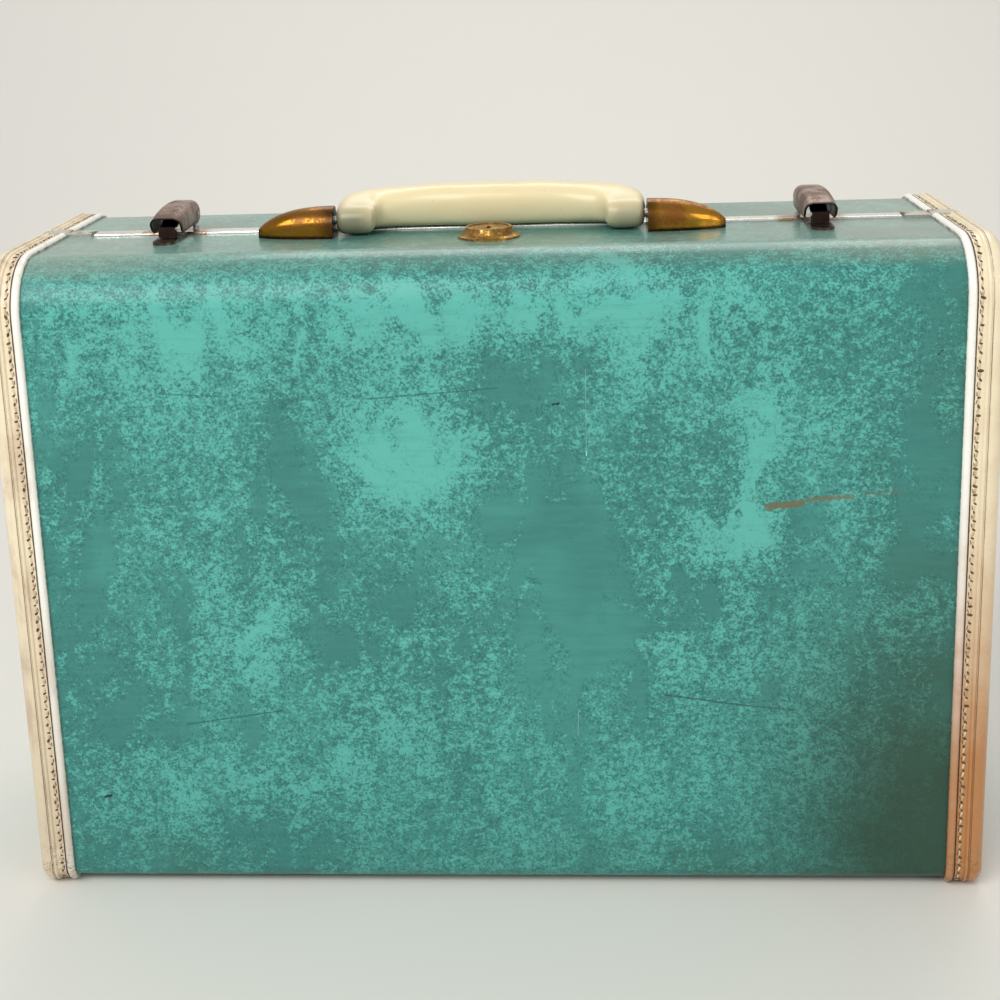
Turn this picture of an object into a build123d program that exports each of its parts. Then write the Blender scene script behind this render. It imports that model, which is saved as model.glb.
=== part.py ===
"""A small hard-shell suitcase with two equal halves, a folding handle, a key lock and two latches.

It stands upright on its end bindings: X runs along the case, -Y is the front half with the
handle and lock, +Y is the lid, Z is up. The origin is at the middle of the footprint.
Sizes are in millimetres.
"""

import os
from math import cos, radians, sin

from build123d import *

os.makedirs("parts", exist_ok=True)

# Case box
case_length = 457.0
shell_depth = 165.0
shell_height = 308.0
top_edge_radius = 25.5
bottom_edge_radius = 8.0
shell_end_radius = 5.0
smallest_radius = 0.5
wall = 4.5
seam_gap = 0.2
surround = 60.0

# End bindings
binding_proud = 2.5
binding_end_thickness = 2.3
binding_width = 17.7
welt_radius = 2.0
welt_proud = 2.4
stitch_strip_width = 4.4
stitch_strip_proud = 1.6
ridge_radius = 1.0
bull_nose_radius = 6.5
end_frame_width = 14.0
ridge_foot = 0.8

# Edge strips along the seam
valance_thickness = 0.8
valance_flange = 5.0
valance_proud = 1.3
valance_end_gap = 1.2
valance_edge_radius = 1.0
valance_frame_gap = 1.0
inner_flange_depth = 6.0
inner_lip = 1.0
tongue_thickness = 0.8
tongue_depth = 2.4
tongue_clearance = 0.4
tongue_start = 16.0
tongue_end_clearance = 4.0
tongue_floor_gap = 1.0

# Corner clips
clip_half_width = 6.0
clip_proud = 2.2
clip_lobe_radius = 5.2
clip_lobe_reach = 7.5
clip_lobe_thickness = 1.6
clip_bottom_setback = 3.0
clip_end_setback = 0.2
clip_lobe_overlap = 0.5

# Lining and pocket
lining_thickness = 0.8
lining_gap = 0.3
pocket_length = 330.0
pocket_height = 165.0
pocket_base_height = 24.0
pocket_thickness = 6.0
pocket_bulge = 5.0
pocket_corner = 12.0
pocket_edge_inset = 2.0
pocket_edge_share = 0.55
pocket_front_inset = 8.0

# Bottom hinges
hinge_from_end = 88.5
hinge_length = 38.0
hinge_knuckles = 5
knuckle_gap = 0.3
barrel_radius = 1.5
hinge_pin_radius = 0.75
running_clearance = 0.05
barrel_clearance = 0.7
leaf_thickness = 0.9
leaf_reach = 17.0
hinge_corner_radius = 3.0
hinge_notch_gap = 0.5
hinge_rivet_pitch = 24.0
hinge_rivet_edge = 5.0

# Rivets
rivet_radius = 1.6
rivet_head_radius = 2.8
rivet_head_height = 0.9
rivet_crown_share = 0.9
fit_clearance = 0.02

# Handle
handle_length = 147.6
pivot_y = -18.5
pivot_height = 7.6
grip_inner_y = -9.5
grip_outer_y = 17.5
grip_thickness = 19.6
grip_gap = 0.3
grip_top_round = 8.0
grip_low_round = 4.0
grip_bow = 5.0
grip_crown = 1.6
elbow_radius = 13.0
foot_width = 18.0
foot_front = 7.0
foot_round = 3.2
handle_pin_radius = 2.0
core_width = 7.0
core_thickness = 2.4
core_inner_radius = 5.0
core_eye_radius = 3.6
core_eye_length = 9.0
handle_pin_overhang = 1.0

# Handle covers, half teardrops
cover_gap = 1.0
cover_length = 37.0
cover_half_width = 9.8
cover_height = 14.5
cover_tip_height = 4.2
cover_tip_half_width = 1.6
cover_wall = 0.9
cover_hole_clearance = 0.6
cover_side_power = 2.4
cover_side_round = 0.75
cover_top_power = 2.6
cover_top_round = 0.8
cover_crown_share = 0.6
cover_stations = 7
bracket_thickness = 1.6
bracket_length = 20.0
bracket_half_width = 5.0
bracket_ear_offset = 2.6
bracket_ear_thickness = 3.0
bracket_corner_radius = 2.5
handle_rivet_steps = (5.0, 13.0)

# Lock
lock_y = -31.0
bezel_base_radius = 14.6
bezel_top_radius = 10.8
bezel_height = 5.0
bezel_flange = 0.9
rotor_radius = 6.4
rotor_flange_radius = 7.4
rotor_recess = 0.6
rotor_flange_thickness = 1.4
rotor_hole_clearance = 0.3
bezel_rim = 1.2
bezel_waist_share = 0.25
key_slot_length = 7.0
key_slot_width = 1.6
key_slot_depth = 8.0
lock_case_length = 46.0
lock_case_front = -46.0
lock_case_rear = -7.2
lock_case_height = 10.0
lock_case_wall = 1.0
lock_case_corner = 2.0
bolt_travel = 6.0
bolt_thickness = 1.5
bolt_body_length = 18.0
bolt_body_width = 12.0
bolt_arm_width = 4.0
lock_tip_front = -11.8
lock_tip_rear = -8.4
rail_width = 2.0
rotor_pin_radius = 1.0
rotor_pin_reach = 0.3
rotor_turn = 90.0
bolt_slot_clearance = 0.35
hasp_x = 7.0
hasp_thickness = 1.5
hasp_reach = 14.0
hasp_height = 7.0
hasp_drop = 1.5
hasp_window_height = 2.9
hasp_window_length = 5.4
hasp_foot_width = 12.0
hasp_foot_length = 21.0
hasp_foot_thickness = 1.5
hasp_foot_y = 7.0
hasp_rivet_edge = 6.0
hasp_lining_gap = 1.5
hasp_slot_clearance = 1.0
hasp_rivet_bite = 3.5
bolt_rest_gap = 0.6
bolt_drop = 3.1

# Latches
latch_from_end = 73.0
latch_pin_y = 12.0
latch_pin_height = 8.2
latch_pin_radius = 1.2
lever_width = 15.5
lever_end_radius = 6.6
lever_lip_y = -28.5
lever_lip_height = 11.6
lever_foot_y = -20.5
lever_foot_height = 1.7
lever_crown = 1.6
lever_wall = 1.0
lever_tail_angle = 40.0
lever_shoulder = 4.5
lever_heel_share = 0.8
latch_base_thickness = 1.2
latch_base_length = 12.0
latch_base_width = 12.4
latch_ear_thickness = 1.4
latch_ear_radius = 2.6
hook_width = 8.0
hook_thickness = 0.8
hook_nose_y = -24.6
hook_level = 6.6
hook_root_y = -2.0
hook_root_rise = 2.8
hook_root_length = 5.0
hook_root_drop = 0.5
hook_shank_length = 7.0
hook_nose_gap = 1.0
catch_length = 30.0
catch_front_y = -36.0
catch_width = 11.0
catch_thickness = 1.2
catch_tab_y = -21.4
catch_tab_thickness = 1.2
catch_tab_height = 4.0
catch_tab_width = 8.6
catch_tab_corner = 1.5
catch_rivet_steps = (5.0, 12.0)

# Levels and faces worked out from the sizes above
shell_base = binding_proud
shell_top = shell_base + shell_height
shell_end = case_length / 2 - binding_end_thickness
case_end = case_length / 2
half_depth = shell_depth / 2
edge_face = seam_gap / 2
shell_edge = edge_face + valance_thickness
inner_top = shell_top - wall
binding_inner = case_end - binding_width
strip_inner = binding_inner + 2 * welt_radius
ridge_x = strip_inner + stitch_strip_width + ridge_radius
valance_run = binding_inner - clip_lobe_reach - clip_lobe_radius - valance_end_gap
hinge_axis_z = barrel_radius + seam_gap / 2
hinge_offset = case_end - hinge_from_end
hinge_notch_length = hinge_length + 2 * hinge_notch_gap
latch_x = case_end - latch_from_end
BODY, LID = -1, 1
LEFT, RIGHT = -1, 1


def save(part, name):
    """Label one finished piece and write its STEP file."""
    part.label = name
    export_step(part, f"parts/{name}.step")
    solids = part.solids()
    print(name, len(solids), "solid(s)", round(sum(s.volume for s in solids), 1), "mm3")


def outline(grow):
    """The case's rounded section, seen from its end, grown outward by a distance."""
    middle = shell_base + shell_height / 2
    with BuildSketch(Plane.YZ) as section:
        with Locations((0, middle)):
            Rectangle(shell_depth + 2 * grow, shell_height + 2 * grow)
        high = section.vertices().group_by(Axis.Y)[-1]
        fillet(high, max(top_edge_radius + grow, smallest_radius))
        low = section.vertices().group_by(Axis.Y)[0]
        fillet(low, max(bottom_edge_radius + grow, smallest_radius))
    return section.sketch


def block(grow, x0, x1, nose=0.0):
    """The case's section run from x0 to x1, with its outer end edge rounded."""
    with BuildPart() as run:
        extrude(outline(grow).moved(Location((x0, 0, 0))), amount=x1 - x0, dir=(1, 0, 0))
        if nose:
            fillet(run.faces().sort_by(Axis.X)[-1].edges(), nose)
    return run.part


def shell_block(grow):
    """The whole case box, both halves, grown by a distance, with rounded end edges."""
    end = shell_end + grow
    with BuildPart() as box:
        extrude(outline(grow).moved(Location((-end, 0, 0))), amount=2 * end, dir=(1, 0, 0))
        for face in (box.faces().sort_by(Axis.X)[0], box.faces().sort_by(Axis.X)[-1]):
            fillet(face.edges(), max(shell_end_radius + grow, smallest_radius))
    return box.part


def half_space(half, start):
    """A large box that keeps one half of the case, from a distance off the seam."""
    reach = shell_depth
    with BuildPart() as space:
        with Locations((0, half * (start + reach / 2), shell_height / 2)):
            Box(case_length + surround, reach, shell_height + 2 * surround)
    return space.part


def seam_frame(outer_inset, inner_inset):
    """A rectangular frame in the plane of the seam, between two insets from the shell."""
    middle = shell_base + shell_height / 2
    with BuildSketch(Plane.XZ) as frame:
        for inset, mode in ((outer_inset, Mode.ADD), (inner_inset, Mode.SUBTRACT)):
            with Locations((0, middle)):
                RectangleRounded(
                    2 * (shell_end - inset),
                    shell_height - 2 * inset,
                    max(shell_end_radius - inset, smallest_radius),
                    mode=mode,
                )
    return frame.sketch


def seam_ring(half, outer_inset, inner_inset, start, stop):
    """That frame as a solid ring on one half, between two distances off the seam."""
    low, high = sorted((half * start, half * stop))
    with BuildPart() as ring:
        face = seam_frame(outer_inset, inner_inset).moved(Location((0, low, 0)))
        extrude(face, amount=high - low, dir=(0, 1, 0))
    return ring.part


def above(solid, level):
    """The share of a piece that lies above a level."""
    with BuildPart() as kept:
        add(solid)
        with Locations((0, 0, level)):
            base = (Align.CENTER, Align.CENTER, Align.MIN)
            size = (case_length + surround, 3 * shell_depth, shell_height + surround)
            Box(*size, align=base, mode=Mode.INTERSECT)
    return kept.part


def rivets(points, head_at, shank, up=1):
    """Round-headed rivets at points, heads on a level, shanks running into the part."""
    with BuildPart() as group:
        for x, y in points:
            with BuildSketch(Plane(origin=(x, y, 0), x_dir=(1, 0, 0), z_dir=(0, -1, 0))):
                with BuildLine():
                    foot = head_at - up * shank
                    crown = head_at + up * rivet_head_height
                    Line((0, foot), (rivet_radius, foot))
                    Line((rivet_radius, foot), (rivet_radius, head_at))
                    Line((rivet_radius, head_at), (rivet_head_radius, head_at))
                    shoulder = (rivet_crown_share * rivet_head_radius, crown)
                    Bezier((rivet_head_radius, head_at), shoulder, (0, crown))
                    Line((0, crown), (0, foot))
                make_face()
            revolve(axis=Axis((x, y, 0), (0, 0, 1)))
    return group.part


def rivet_holes(points, level, depth):
    """Clearance cuts for rivet shanks, from a level down (or up, if depth is negative)."""
    with BuildPart() as cuts:
        for x, y in points:
            with BuildSketch(Plane.XY.offset(level)):
                with Locations((x, y)):
                    Circle(rivet_radius + fit_clearance)
            extrude(amount=-depth)
    return cuts.part


# Fixing points that several pieces share
cover_flat = handle_length / 2 + cover_gap
bracket_ear_x = cover_flat + cover_wall + bracket_ear_offset
handle_rivets = [
    (side * (bracket_ear_x + bracket_ear_thickness + step), pivot_y)
    for side in (LEFT, RIGHT)
    for step in handle_rivet_steps
]
catch_rivets = [
    (side * latch_x, catch_tab_y + step) for side in (LEFT, RIGHT) for step in catch_rivet_steps
]
base_rivets = [(side * latch_x, latch_pin_y) for side in (LEFT, RIGHT)]
hasp_rivet_y = (hasp_foot_y + hasp_rivet_edge, hasp_foot_y + hasp_foot_length - hasp_rivet_edge)
hasp_rivets = [(hasp_x + hasp_foot_width / 2, y) for y in hasp_rivet_y]
hinge_rivet_x = [
    side * hinge_offset + step * hinge_rivet_pitch / 2
    for side in (LEFT, RIGHT)
    for step in (-1, 1)
]
hinge_rivet_y = leaf_reach - hinge_rivet_edge
hinge_rivets = {half: [(x, half * hinge_rivet_y) for x in hinge_rivet_x] for half in (BODY, LID)}
top_rivets = {BODY: handle_rivets + catch_rivets, LID: base_rivets}

# Half shells, with the rebate for the tongue and the notches for the hinge barrels
groove = tongue_thickness / 2 + tongue_clearance
mid_wall = wall / 2
rebate_start = shell_base + tongue_start - tongue_end_clearance
notch_half = barrel_radius + barrel_clearance
for half, name in ((BODY, "body_shell"), (LID, "lid_shell")):
    with BuildPart() as shell:
        add(shell_block(0))
        add(shell_block(-wall), mode=Mode.SUBTRACT)
        add(half_space(half, shell_edge), mode=Mode.INTERSECT)
        if half == BODY:
            depth = tongue_depth + tongue_floor_gap
            rebate = seam_ring(half, mid_wall - groove, mid_wall + groove, 0, depth)
            add(above(rebate, rebate_start), mode=Mode.SUBTRACT)
            with Locations((0, lock_y, shell_top)):
                Cylinder(rotor_radius + rotor_hole_clearance, 4 * wall, mode=Mode.SUBTRACT)
        for side in (LEFT, RIGHT):
            with Locations((side * hinge_offset, 0, hinge_axis_z)):
                Box(hinge_notch_length, 2 * notch_half, 2 * notch_half, mode=Mode.SUBTRACT)
        add(rivet_holes(top_rivets[half], shell_top, wall), mode=Mode.SUBTRACT)
        add(rivet_holes(hinge_rivets[half], shell_base, -wall), mode=Mode.SUBTRACT)
        if half == LID:
            add(rivet_holes(hasp_rivets, inner_top, -hasp_rivet_bite), mode=Mode.SUBTRACT)
    save(shell.part, name)

# Cloth linings, trays that line the walls behind the edge strip's inner flange
lock_case_y = (lock_case_front + lock_case_rear) / 2
lock_case_depth = lock_case_rear - lock_case_front
hasp_foot_middle = (hasp_x + hasp_foot_width / 2, hasp_foot_y + hasp_foot_length / 2, inner_top)
for half, name in ((BODY, "body_lining"), (LID, "lid_lining")):
    with BuildPart() as lining:
        add(shell_block(-wall))
        add(shell_block(-wall - lining_thickness), mode=Mode.SUBTRACT)
        add(half_space(half, inner_flange_depth), mode=Mode.INTERSECT)
        if half == BODY:
            with Locations((0, lock_case_y, inner_top)):
                length = lock_case_length + 2 * lining_gap
                Box(length, lock_case_depth + 2 * lining_gap, 2 * wall, mode=Mode.SUBTRACT)
        else:
            with Locations(hasp_foot_middle):
                width = hasp_foot_width + 2 * hasp_lining_gap
                Box(width, hasp_foot_length + 2 * hasp_lining_gap, 2 * wall, mode=Mode.SUBTRACT)
            with Locations([(x, y, inner_top) for x, y in base_rivets]):
                Cylinder(rivet_head_radius + lining_gap, 2 * wall, mode=Mode.SUBTRACT)
    save(lining.part, name)

# Edge strips: web across the wall's edge, inner flange, and proud outer flanges
for half, name in ((BODY, "body_valance"), (LID, "lid_valance")):
    with BuildPart() as valance:
        add(seam_ring(half, 0, wall + inner_lip, edge_face, shell_edge))
        add(seam_ring(half, wall, wall + inner_lip, edge_face, inner_flange_depth))
        middle_y = half * (edge_face + valance_flange) / 2
        width = valance_flange - edge_face
        bottom_level = shell_base - leaf_thickness
        for level, height in ((shell_top, valance_proud), (bottom_level, leaf_thickness)):
            with Locations((0, middle_y, level + height / 2)):
                Box(2 * valance_run, width, height)
        end_low = shell_base + end_frame_width + valance_frame_gap
        end_high = shell_top - end_frame_width - valance_frame_gap
        end_middle = (end_low + end_high) / 2
        for side in (LEFT, RIGHT):
            with Locations((side * (shell_end + valance_proud / 2), middle_y, end_middle)):
                Box(valance_proud, width, end_high - end_low)
        outer_top = valance.edges().filter_by(Axis.X).group_by(Axis.Z)[-1]
        fillet(outer_top.sort_by(Axis.Y)[0 if half == BODY else -1], valance_edge_radius)
        if half == LID:
            thin = tongue_thickness / 2
            tongue = seam_ring(BODY, mid_wall - thin, mid_wall + thin, -edge_face, tongue_depth)
            add(above(tongue, shell_base + tongue_start))
        else:
            rebate = seam_ring(half, mid_wall - groove, mid_wall + groove, 0, tongue_depth)
            add(above(rebate, rebate_start), mode=Mode.SUBTRACT)
        for side in (LEFT, RIGHT):
            with Locations((side * hinge_offset, 0, hinge_axis_z)):
                Box(hinge_notch_length, 2 * notch_half, 2 * notch_half, mode=Mode.SUBTRACT)
            with Locations((side * hinge_offset, 0, shell_base - leaf_thickness)):
                Box(hinge_notch_length, 2 * leaf_reach, 2 * leaf_thickness, mode=Mode.SUBTRACT)
    save(valance.part, name)


def end_band(grow, x0, x1, nose=0.0):
    """A band round the case's right end: wraps the edge and frames the end panel."""
    with BuildPart() as band:
        add(block(grow, x0, x1, nose))
        add(shell_block(0), mode=Mode.SUBTRACT)
        extrude(
            outline(-end_frame_width).moved(Location((x0, 0, 0))),
            amount=2 * binding_width,
            dir=(1, 0, 0),
            mode=Mode.SUBTRACT,
        )
    return band.part


def rim_tube(half, x, proud, radius):
    """A round cord that follows the rim of one half, sunk to a height over the shell."""
    grow = proud - radius
    side_y = half * (half_depth + grow)
    high = shell_top + grow
    low = shell_base - grow
    near = half * clip_half_width
    with BuildPart() as tube:
        with BuildLine(Plane.YZ.offset(x)) as path:
            FilletPolyline(
                (near, high),
                (side_y, high),
                (side_y, low),
                (near, low),
                radius=[top_edge_radius + grow, bottom_edge_radius + grow],
            )
        with BuildSketch(Plane(origin=path.line @ 0, z_dir=path.line % 0)):
            Circle(radius)
        sweep()
        add(shell_block(0), mode=Mode.SUBTRACT)
    return tube.part


# End bindings and welts, one length of each per end and per half
for half, half_name in ((BODY, "body"), (LID, "lid")):
    with BuildPart(mode=Mode.PRIVATE) as right_binding:
        add(end_band(stitch_strip_proud, strip_inner, ridge_x + ridge_radius))
        add(end_band(binding_proud, ridge_x + ridge_foot, case_end, bull_nose_radius))
        add(half_space(half, clip_half_width), mode=Mode.INTERSECT)
        add(rim_tube(half, ridge_x, binding_proud, ridge_radius))
    right_welt = rim_tube(half, binding_inner + welt_radius, welt_proud, welt_radius)
    for side, side_name in ((LEFT, "left"), (RIGHT, "right")):
        for piece, kind in ((right_binding.part, "binding"), (right_welt, "welt")):
            with BuildPart() as trim:
                add(piece)
                if side == LEFT:
                    mirror(about=Plane.YZ, mode=Mode.REPLACE)
            save(trim.part, f"{kind}_{half_name}_{side_name}")

# Corner clips: saddles over the binding at the seam, with a lobe beside the welt on top
lobe_x = binding_inner - clip_lobe_reach
for half, name in ((BODY, "body_corner_clips"), (LID, "lid_corner_clips")):
    with BuildPart() as clips:
        saddle = end_band(clip_proud, binding_inner, case_end - clip_end_setback, bull_nose_radius)
        with BuildPart(mode=Mode.PRIVATE) as top_clip:
            add(above(saddle, shell_height / 2))
            with BuildSketch(Plane.XY.offset(shell_top)):
                with Locations((lobe_x, half * clip_lobe_radius)):
                    Circle(clip_lobe_radius)
                with Locations((lobe_x + clip_lobe_reach / 2, half * clip_half_width / 2)):
                    Rectangle(clip_lobe_reach + 2 * clip_lobe_overlap, clip_half_width)
            extrude(amount=clip_lobe_thickness)
            width = clip_half_width - edge_face
            with Locations((case_end, half * (edge_face + width / 2), shell_top)):
                Box(2 * surround, width, 2 * surround, mode=Mode.INTERSECT)
        with BuildPart(mode=Mode.PRIVATE) as bottom_clip:
            add(saddle)
            width = clip_half_width - clip_bottom_setback
            with Locations((case_end, half * (clip_bottom_setback + width / 2), shell_base)):
                Box(2 * surround, width, 2 * surround, mode=Mode.INTERSECT)
        add(top_clip.part)
        add(bottom_clip.part)
        mirror(about=Plane.YZ)
    save(clips.part, name)

# Bottom hinges: leaves under the shell, knuckles on the seam line, a pin in each
knuckle = hinge_length / hinge_knuckles
for side, side_name in ((LEFT, "left"), (RIGHT, "right")):
    for half, half_name in ((BODY, "body"), (LID, "lid")):
        first = 0 if half == BODY else 1
        with BuildPart() as leaf:
            plate_start = barrel_radius + barrel_clearance
            plate = leaf_reach - plate_start
            level = shell_base - leaf_thickness / 2
            with Locations((side * hinge_offset, half * (plate_start + plate / 2), level)):
                Box(hinge_length, plate, leaf_thickness)
            far = leaf.edges().filter_by(Axis.Z).group_by(Axis.Y)[-1 if half == LID else 0]
            fillet(far, hinge_corner_radius)
            for place in range(first, hinge_knuckles, 2):
                x = side * hinge_offset - hinge_length / 2 + (place + 0.5) * knuckle
                length = knuckle - knuckle_gap
                with Locations((x, half * plate_start / 2, level)):
                    Box(length, plate_start, leaf_thickness)
                with Locations(Location((x, 0, hinge_axis_z), (0, 90, 0))):
                    Cylinder(barrel_radius, length)
            with Locations(Location((side * hinge_offset, 0, hinge_axis_z), (0, 90, 0))):
                Cylinder(hinge_pin_radius + running_clearance, 2 * hinge_length, mode=Mode.SUBTRACT)
            fixing = rivet_holes(hinge_rivets[half], shell_base, 2 * leaf_thickness)
            add(fixing, mode=Mode.SUBTRACT)
        save(leaf.part, f"hinge_leaf_{half_name}_{side_name}")
    with BuildPart() as pin:
        with Locations(Location((side * hinge_offset, 0, hinge_axis_z), (0, 90, 0))):
            Cylinder(hinge_pin_radius, hinge_length)
    save(pin.part, f"hinge_pin_{side_name}")
for half, name in ((BODY, "hinge_rivets_body"), (LID, "hinge_rivets_lid")):
    save(rivets(hinge_rivets[half], shell_base - leaf_thickness, leaf_thickness + wall, -1), name)


# Handle: a moulded grip folded back over the lid, its feet on the pivot line
pivot_z = shell_top + pivot_height
grip_low = shell_top + valance_proud + grip_gap
half_grip = handle_length / 2
foot_mid = half_grip - foot_width / 2

bar_width = grip_outer_y - grip_inner_y - grip_bow
bar_y = grip_outer_y - grip_bow / 2 - bar_width / 2
elbow_x = foot_mid - elbow_radius
elbow_y = bar_y - elbow_radius
with BuildPart() as handle_core:
    with BuildSketch(Plane.XY.offset(pivot_z - core_thickness / 2)) as bar:
        with Locations((0, bar_y)):
            Rectangle(2 * foot_mid + core_width, core_width)
        with Locations((-foot_mid, (bar_y + pivot_y) / 2), (foot_mid, (bar_y + pivot_y) / 2)):
            Rectangle(core_width, bar_y - pivot_y)
        fillet(bar.vertices().group_by(Axis.Y)[-1], core_inner_radius + core_width)
        inside = bar.vertices().filter_by(lambda v: abs(v.Y - (bar_y - core_width / 2)) < fit_clearance)
        fillet(inside, core_inner_radius)
    extrude(amount=core_thickness)
    for side in (LEFT, RIGHT):
        with Locations(Location((side * foot_mid, pivot_y, pivot_z), (0, 90, 0))):
            Cylinder(core_eye_radius, core_eye_length)
pin_reach = bracket_ear_x + bracket_ear_thickness + handle_pin_overhang
pin_start = foot_mid - core_eye_length / 2
pin_bores = {}
for side in (LEFT, RIGHT):
    with BuildPart() as bore:
        middle = side * (pin_start + pin_reach) / 2
        with Locations(Location((middle, pivot_y, pivot_z), (0, 90, 0))):
            Cylinder(handle_pin_radius + fit_clearance, pin_reach - pin_start)
    pin_bores[side] = bore.part



def grip_section(x, y, turn, grow, share):
    """An upright section of the grip: turn 0 heads along X, share runs from foot to full bar."""
    heading = radians(turn)
    low = grip_low if share else pivot_z - foot_front
    height = 2 * foot_front + (grip_thickness - grip_crown - 2 * foot_front) * share + grow
    width = foot_width + (bar_width - foot_width) * share + grip_bow * grow / grip_crown
    across = (-sin(heading), cos(heading), 0)
    plane = Plane(origin=(x, y, low), x_dir=across, z_dir=(cos(heading), sin(heading), 0))
    with BuildSketch(plane) as section:
        Rectangle(width, height, align=(Align.CENTER, Align.MIN))
        top = section.vertices().group_by(Axis.Y)[-1]
        fillet(top, foot_round + (grip_top_round - foot_round) * share)
        bottom = section.vertices().group_by(Axis.Y)[0]
        fillet(bottom, foot_round + (grip_low_round - foot_round) * share)
    return section.sketch


with BuildPart() as handle_grip:
    stations = [(-foot_mid, pivot_y, 90, 0, 0), (-foot_mid, elbow_y, 90, 0, 0.25)]
    for turn, share in ((66, 0.55), (33, 0.85), (0, 1)):
        x = -elbow_x - elbow_radius * sin(radians(turn))
        stations.append((x, elbow_y + elbow_radius * cos(radians(turn)), turn, 0, share))
    for step in (0.67, 0.33, 0):
        stations.append((-step * elbow_x, bar_y, 0, grip_crown * (1 - step**2), 1))
    for x, y, turn, grow, share in reversed(stations[:-1]):
        stations.append((-x, y, -turn, grow, share))
    for station in stations:
        add(grip_section(*station))
    loft()
    for side in (LEFT, RIGHT):
        foot = Plane(origin=(side * foot_mid, pivot_y, pivot_z), x_dir=(1, 0, 0), z_dir=(0, -1, 0))
        with BuildSketch(foot):
            RectangleRounded(foot_width, 2 * foot_front, foot_round)
            with Locations((0, -foot_front)):
                Rectangle(foot_width, 2 * foot_front, mode=Mode.SUBTRACT)
        revolve(axis=Axis((0, pivot_y, pivot_z), (1, 0, 0)), revolution_arc=180)
    add(handle_core.part, mode=Mode.SUBTRACT)
    for side in (LEFT, RIGHT):
        add(pin_bores[side], mode=Mode.SUBTRACT)
save(handle_grip.part, "handle_grip")
with BuildPart() as cored:
    add(handle_core.part)
    for side in (LEFT, RIGHT):
        add(pin_bores[side], mode=Mode.SUBTRACT)
save(cored.part, "handle_core")
for side, side_name in ((LEFT, "left"), (RIGHT, "right")):
    with BuildPart() as handle_pin:
        middle = side * (pin_start + pin_reach) / 2
        with Locations(Location((middle, pivot_y, pivot_z), (0, 90, 0))):
            Cylinder(handle_pin_radius, pin_reach - pin_start)
    save(handle_pin.part, f"handle_pin_{side_name}")


def cover_form(inset):
    """The half teardrop on the right, from its flat end to its tip, or its hollow."""
    with BuildPart() as form:
        for station in range(cover_stations):
            along = station / (cover_stations - 1)
            taper = (1 - along**cover_side_power) ** cover_side_round
            drop = (1 - along**cover_top_power) ** cover_top_round
            half_width = cover_tip_half_width + (cover_half_width - cover_tip_half_width) * taper
            height = cover_tip_height + (cover_height - cover_tip_height) * drop
            x = cover_flat + inset + along * (cover_length - 2 * inset)
            width = max(half_width - inset, smallest_radius)
            top = height - inset
            shoulder = top - cover_crown_share * height
            base = -inset
            plane = Plane(origin=(x, pivot_y, shell_top), x_dir=(0, 1, 0), z_dir=(1, 0, 0))
            with BuildSketch(plane):
                with BuildLine():
                    Polyline((-width, shoulder), (-width, base), (width, base), (width, shoulder))
                    crown = top - shoulder
                    EllipticalCenterArc((0, shoulder), width, crown, start_angle=0, arc_size=180)
                make_face()
        loft()
    return form.part


# Handle covers: hollow brass stampings, and the bearing brackets that they hide
bracket_plate_x = bracket_ear_x + bracket_length / 2
with BuildPart() as cover_right:
    add(cover_form(0))
    add(cover_form(cover_wall), mode=Mode.SUBTRACT)
    with Locations(Location((cover_flat, pivot_y, pivot_z), (0, 90, 0))):
        Cylinder(handle_pin_radius + cover_hole_clearance, 4 * cover_wall, mode=Mode.SUBTRACT)
with BuildPart() as bracket_right:
    with Locations((bracket_plate_x, pivot_y, shell_top + bracket_thickness / 2)):
        Box(bracket_length, 2 * bracket_half_width, bracket_thickness)
    ends = bracket_right.edges().filter_by(Axis.Z).group_by(Axis.X)[-1]
    fillet(ends, bracket_corner_radius)
    with BuildSketch(Plane.YZ.offset(bracket_ear_x)):
        with BuildLine():
            low = shell_top + bracket_thickness
            near, far = pivot_y - bracket_half_width, pivot_y + bracket_half_width
            Polyline((near, pivot_z), (near, low), (far, low), (far, pivot_z))
            ThreePointArc((far, pivot_z), (pivot_y, pivot_z + bracket_half_width), (near, pivot_z))
        make_face()
    extrude(amount=bracket_ear_thickness)
    with Locations(Location((bracket_ear_x, pivot_y, pivot_z), (0, 90, 0))):
        bore = handle_pin_radius + running_clearance
        Cylinder(bore, 4 * bracket_ear_thickness, mode=Mode.SUBTRACT)
    fixing = rivet_holes(handle_rivets, shell_top + bracket_thickness, 2 * bracket_thickness)
    add(fixing, mode=Mode.SUBTRACT)
for side, side_name in ((LEFT, "left"), (RIGHT, "right")):
    for piece, kind in ((cover_right.part, "handle_cover"), (bracket_right.part, "handle_bracket")):
        with BuildPart() as mount:
            add(piece)
            if side == LEFT:
                mirror(about=Plane.YZ, mode=Mode.REPLACE)
        save(mount.part, f"{kind}_{side_name}")
head_at = shell_top + bracket_thickness
save(rivets(handle_rivets, head_at, bracket_thickness + wall), "handle_rivets")

# Lock: bezel on top, rotor through the wall, bolt on its rails in the case below
with BuildPart() as lock_bezel:
    with BuildSketch(Plane(origin=(0, lock_y, shell_top), x_dir=(1, 0, 0), z_dir=(0, -1, 0))):
        with BuildLine():
            bore = rotor_radius + running_clearance
            Polyline(
                (bezel_base_radius, bezel_flange),
                (bezel_base_radius, 0),
                (bore, 0),
                (bore, bezel_height - rotor_recess),
                (bezel_top_radius - bezel_rim, bezel_height - rotor_recess),
                (bezel_top_radius - bezel_rim, bezel_height),
                (bezel_top_radius, bezel_height),
            )
            flare = bezel_waist_share * (bezel_base_radius - bezel_top_radius)
            waist = (bezel_top_radius + flare, bezel_flange)
            Bezier((bezel_top_radius, bezel_height), waist, (bezel_base_radius, bezel_flange))
        make_face()
    revolve(axis=Axis((0, lock_y, 0), (0, 0, 1)))
save(lock_bezel.part, "lock_bezel")

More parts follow.
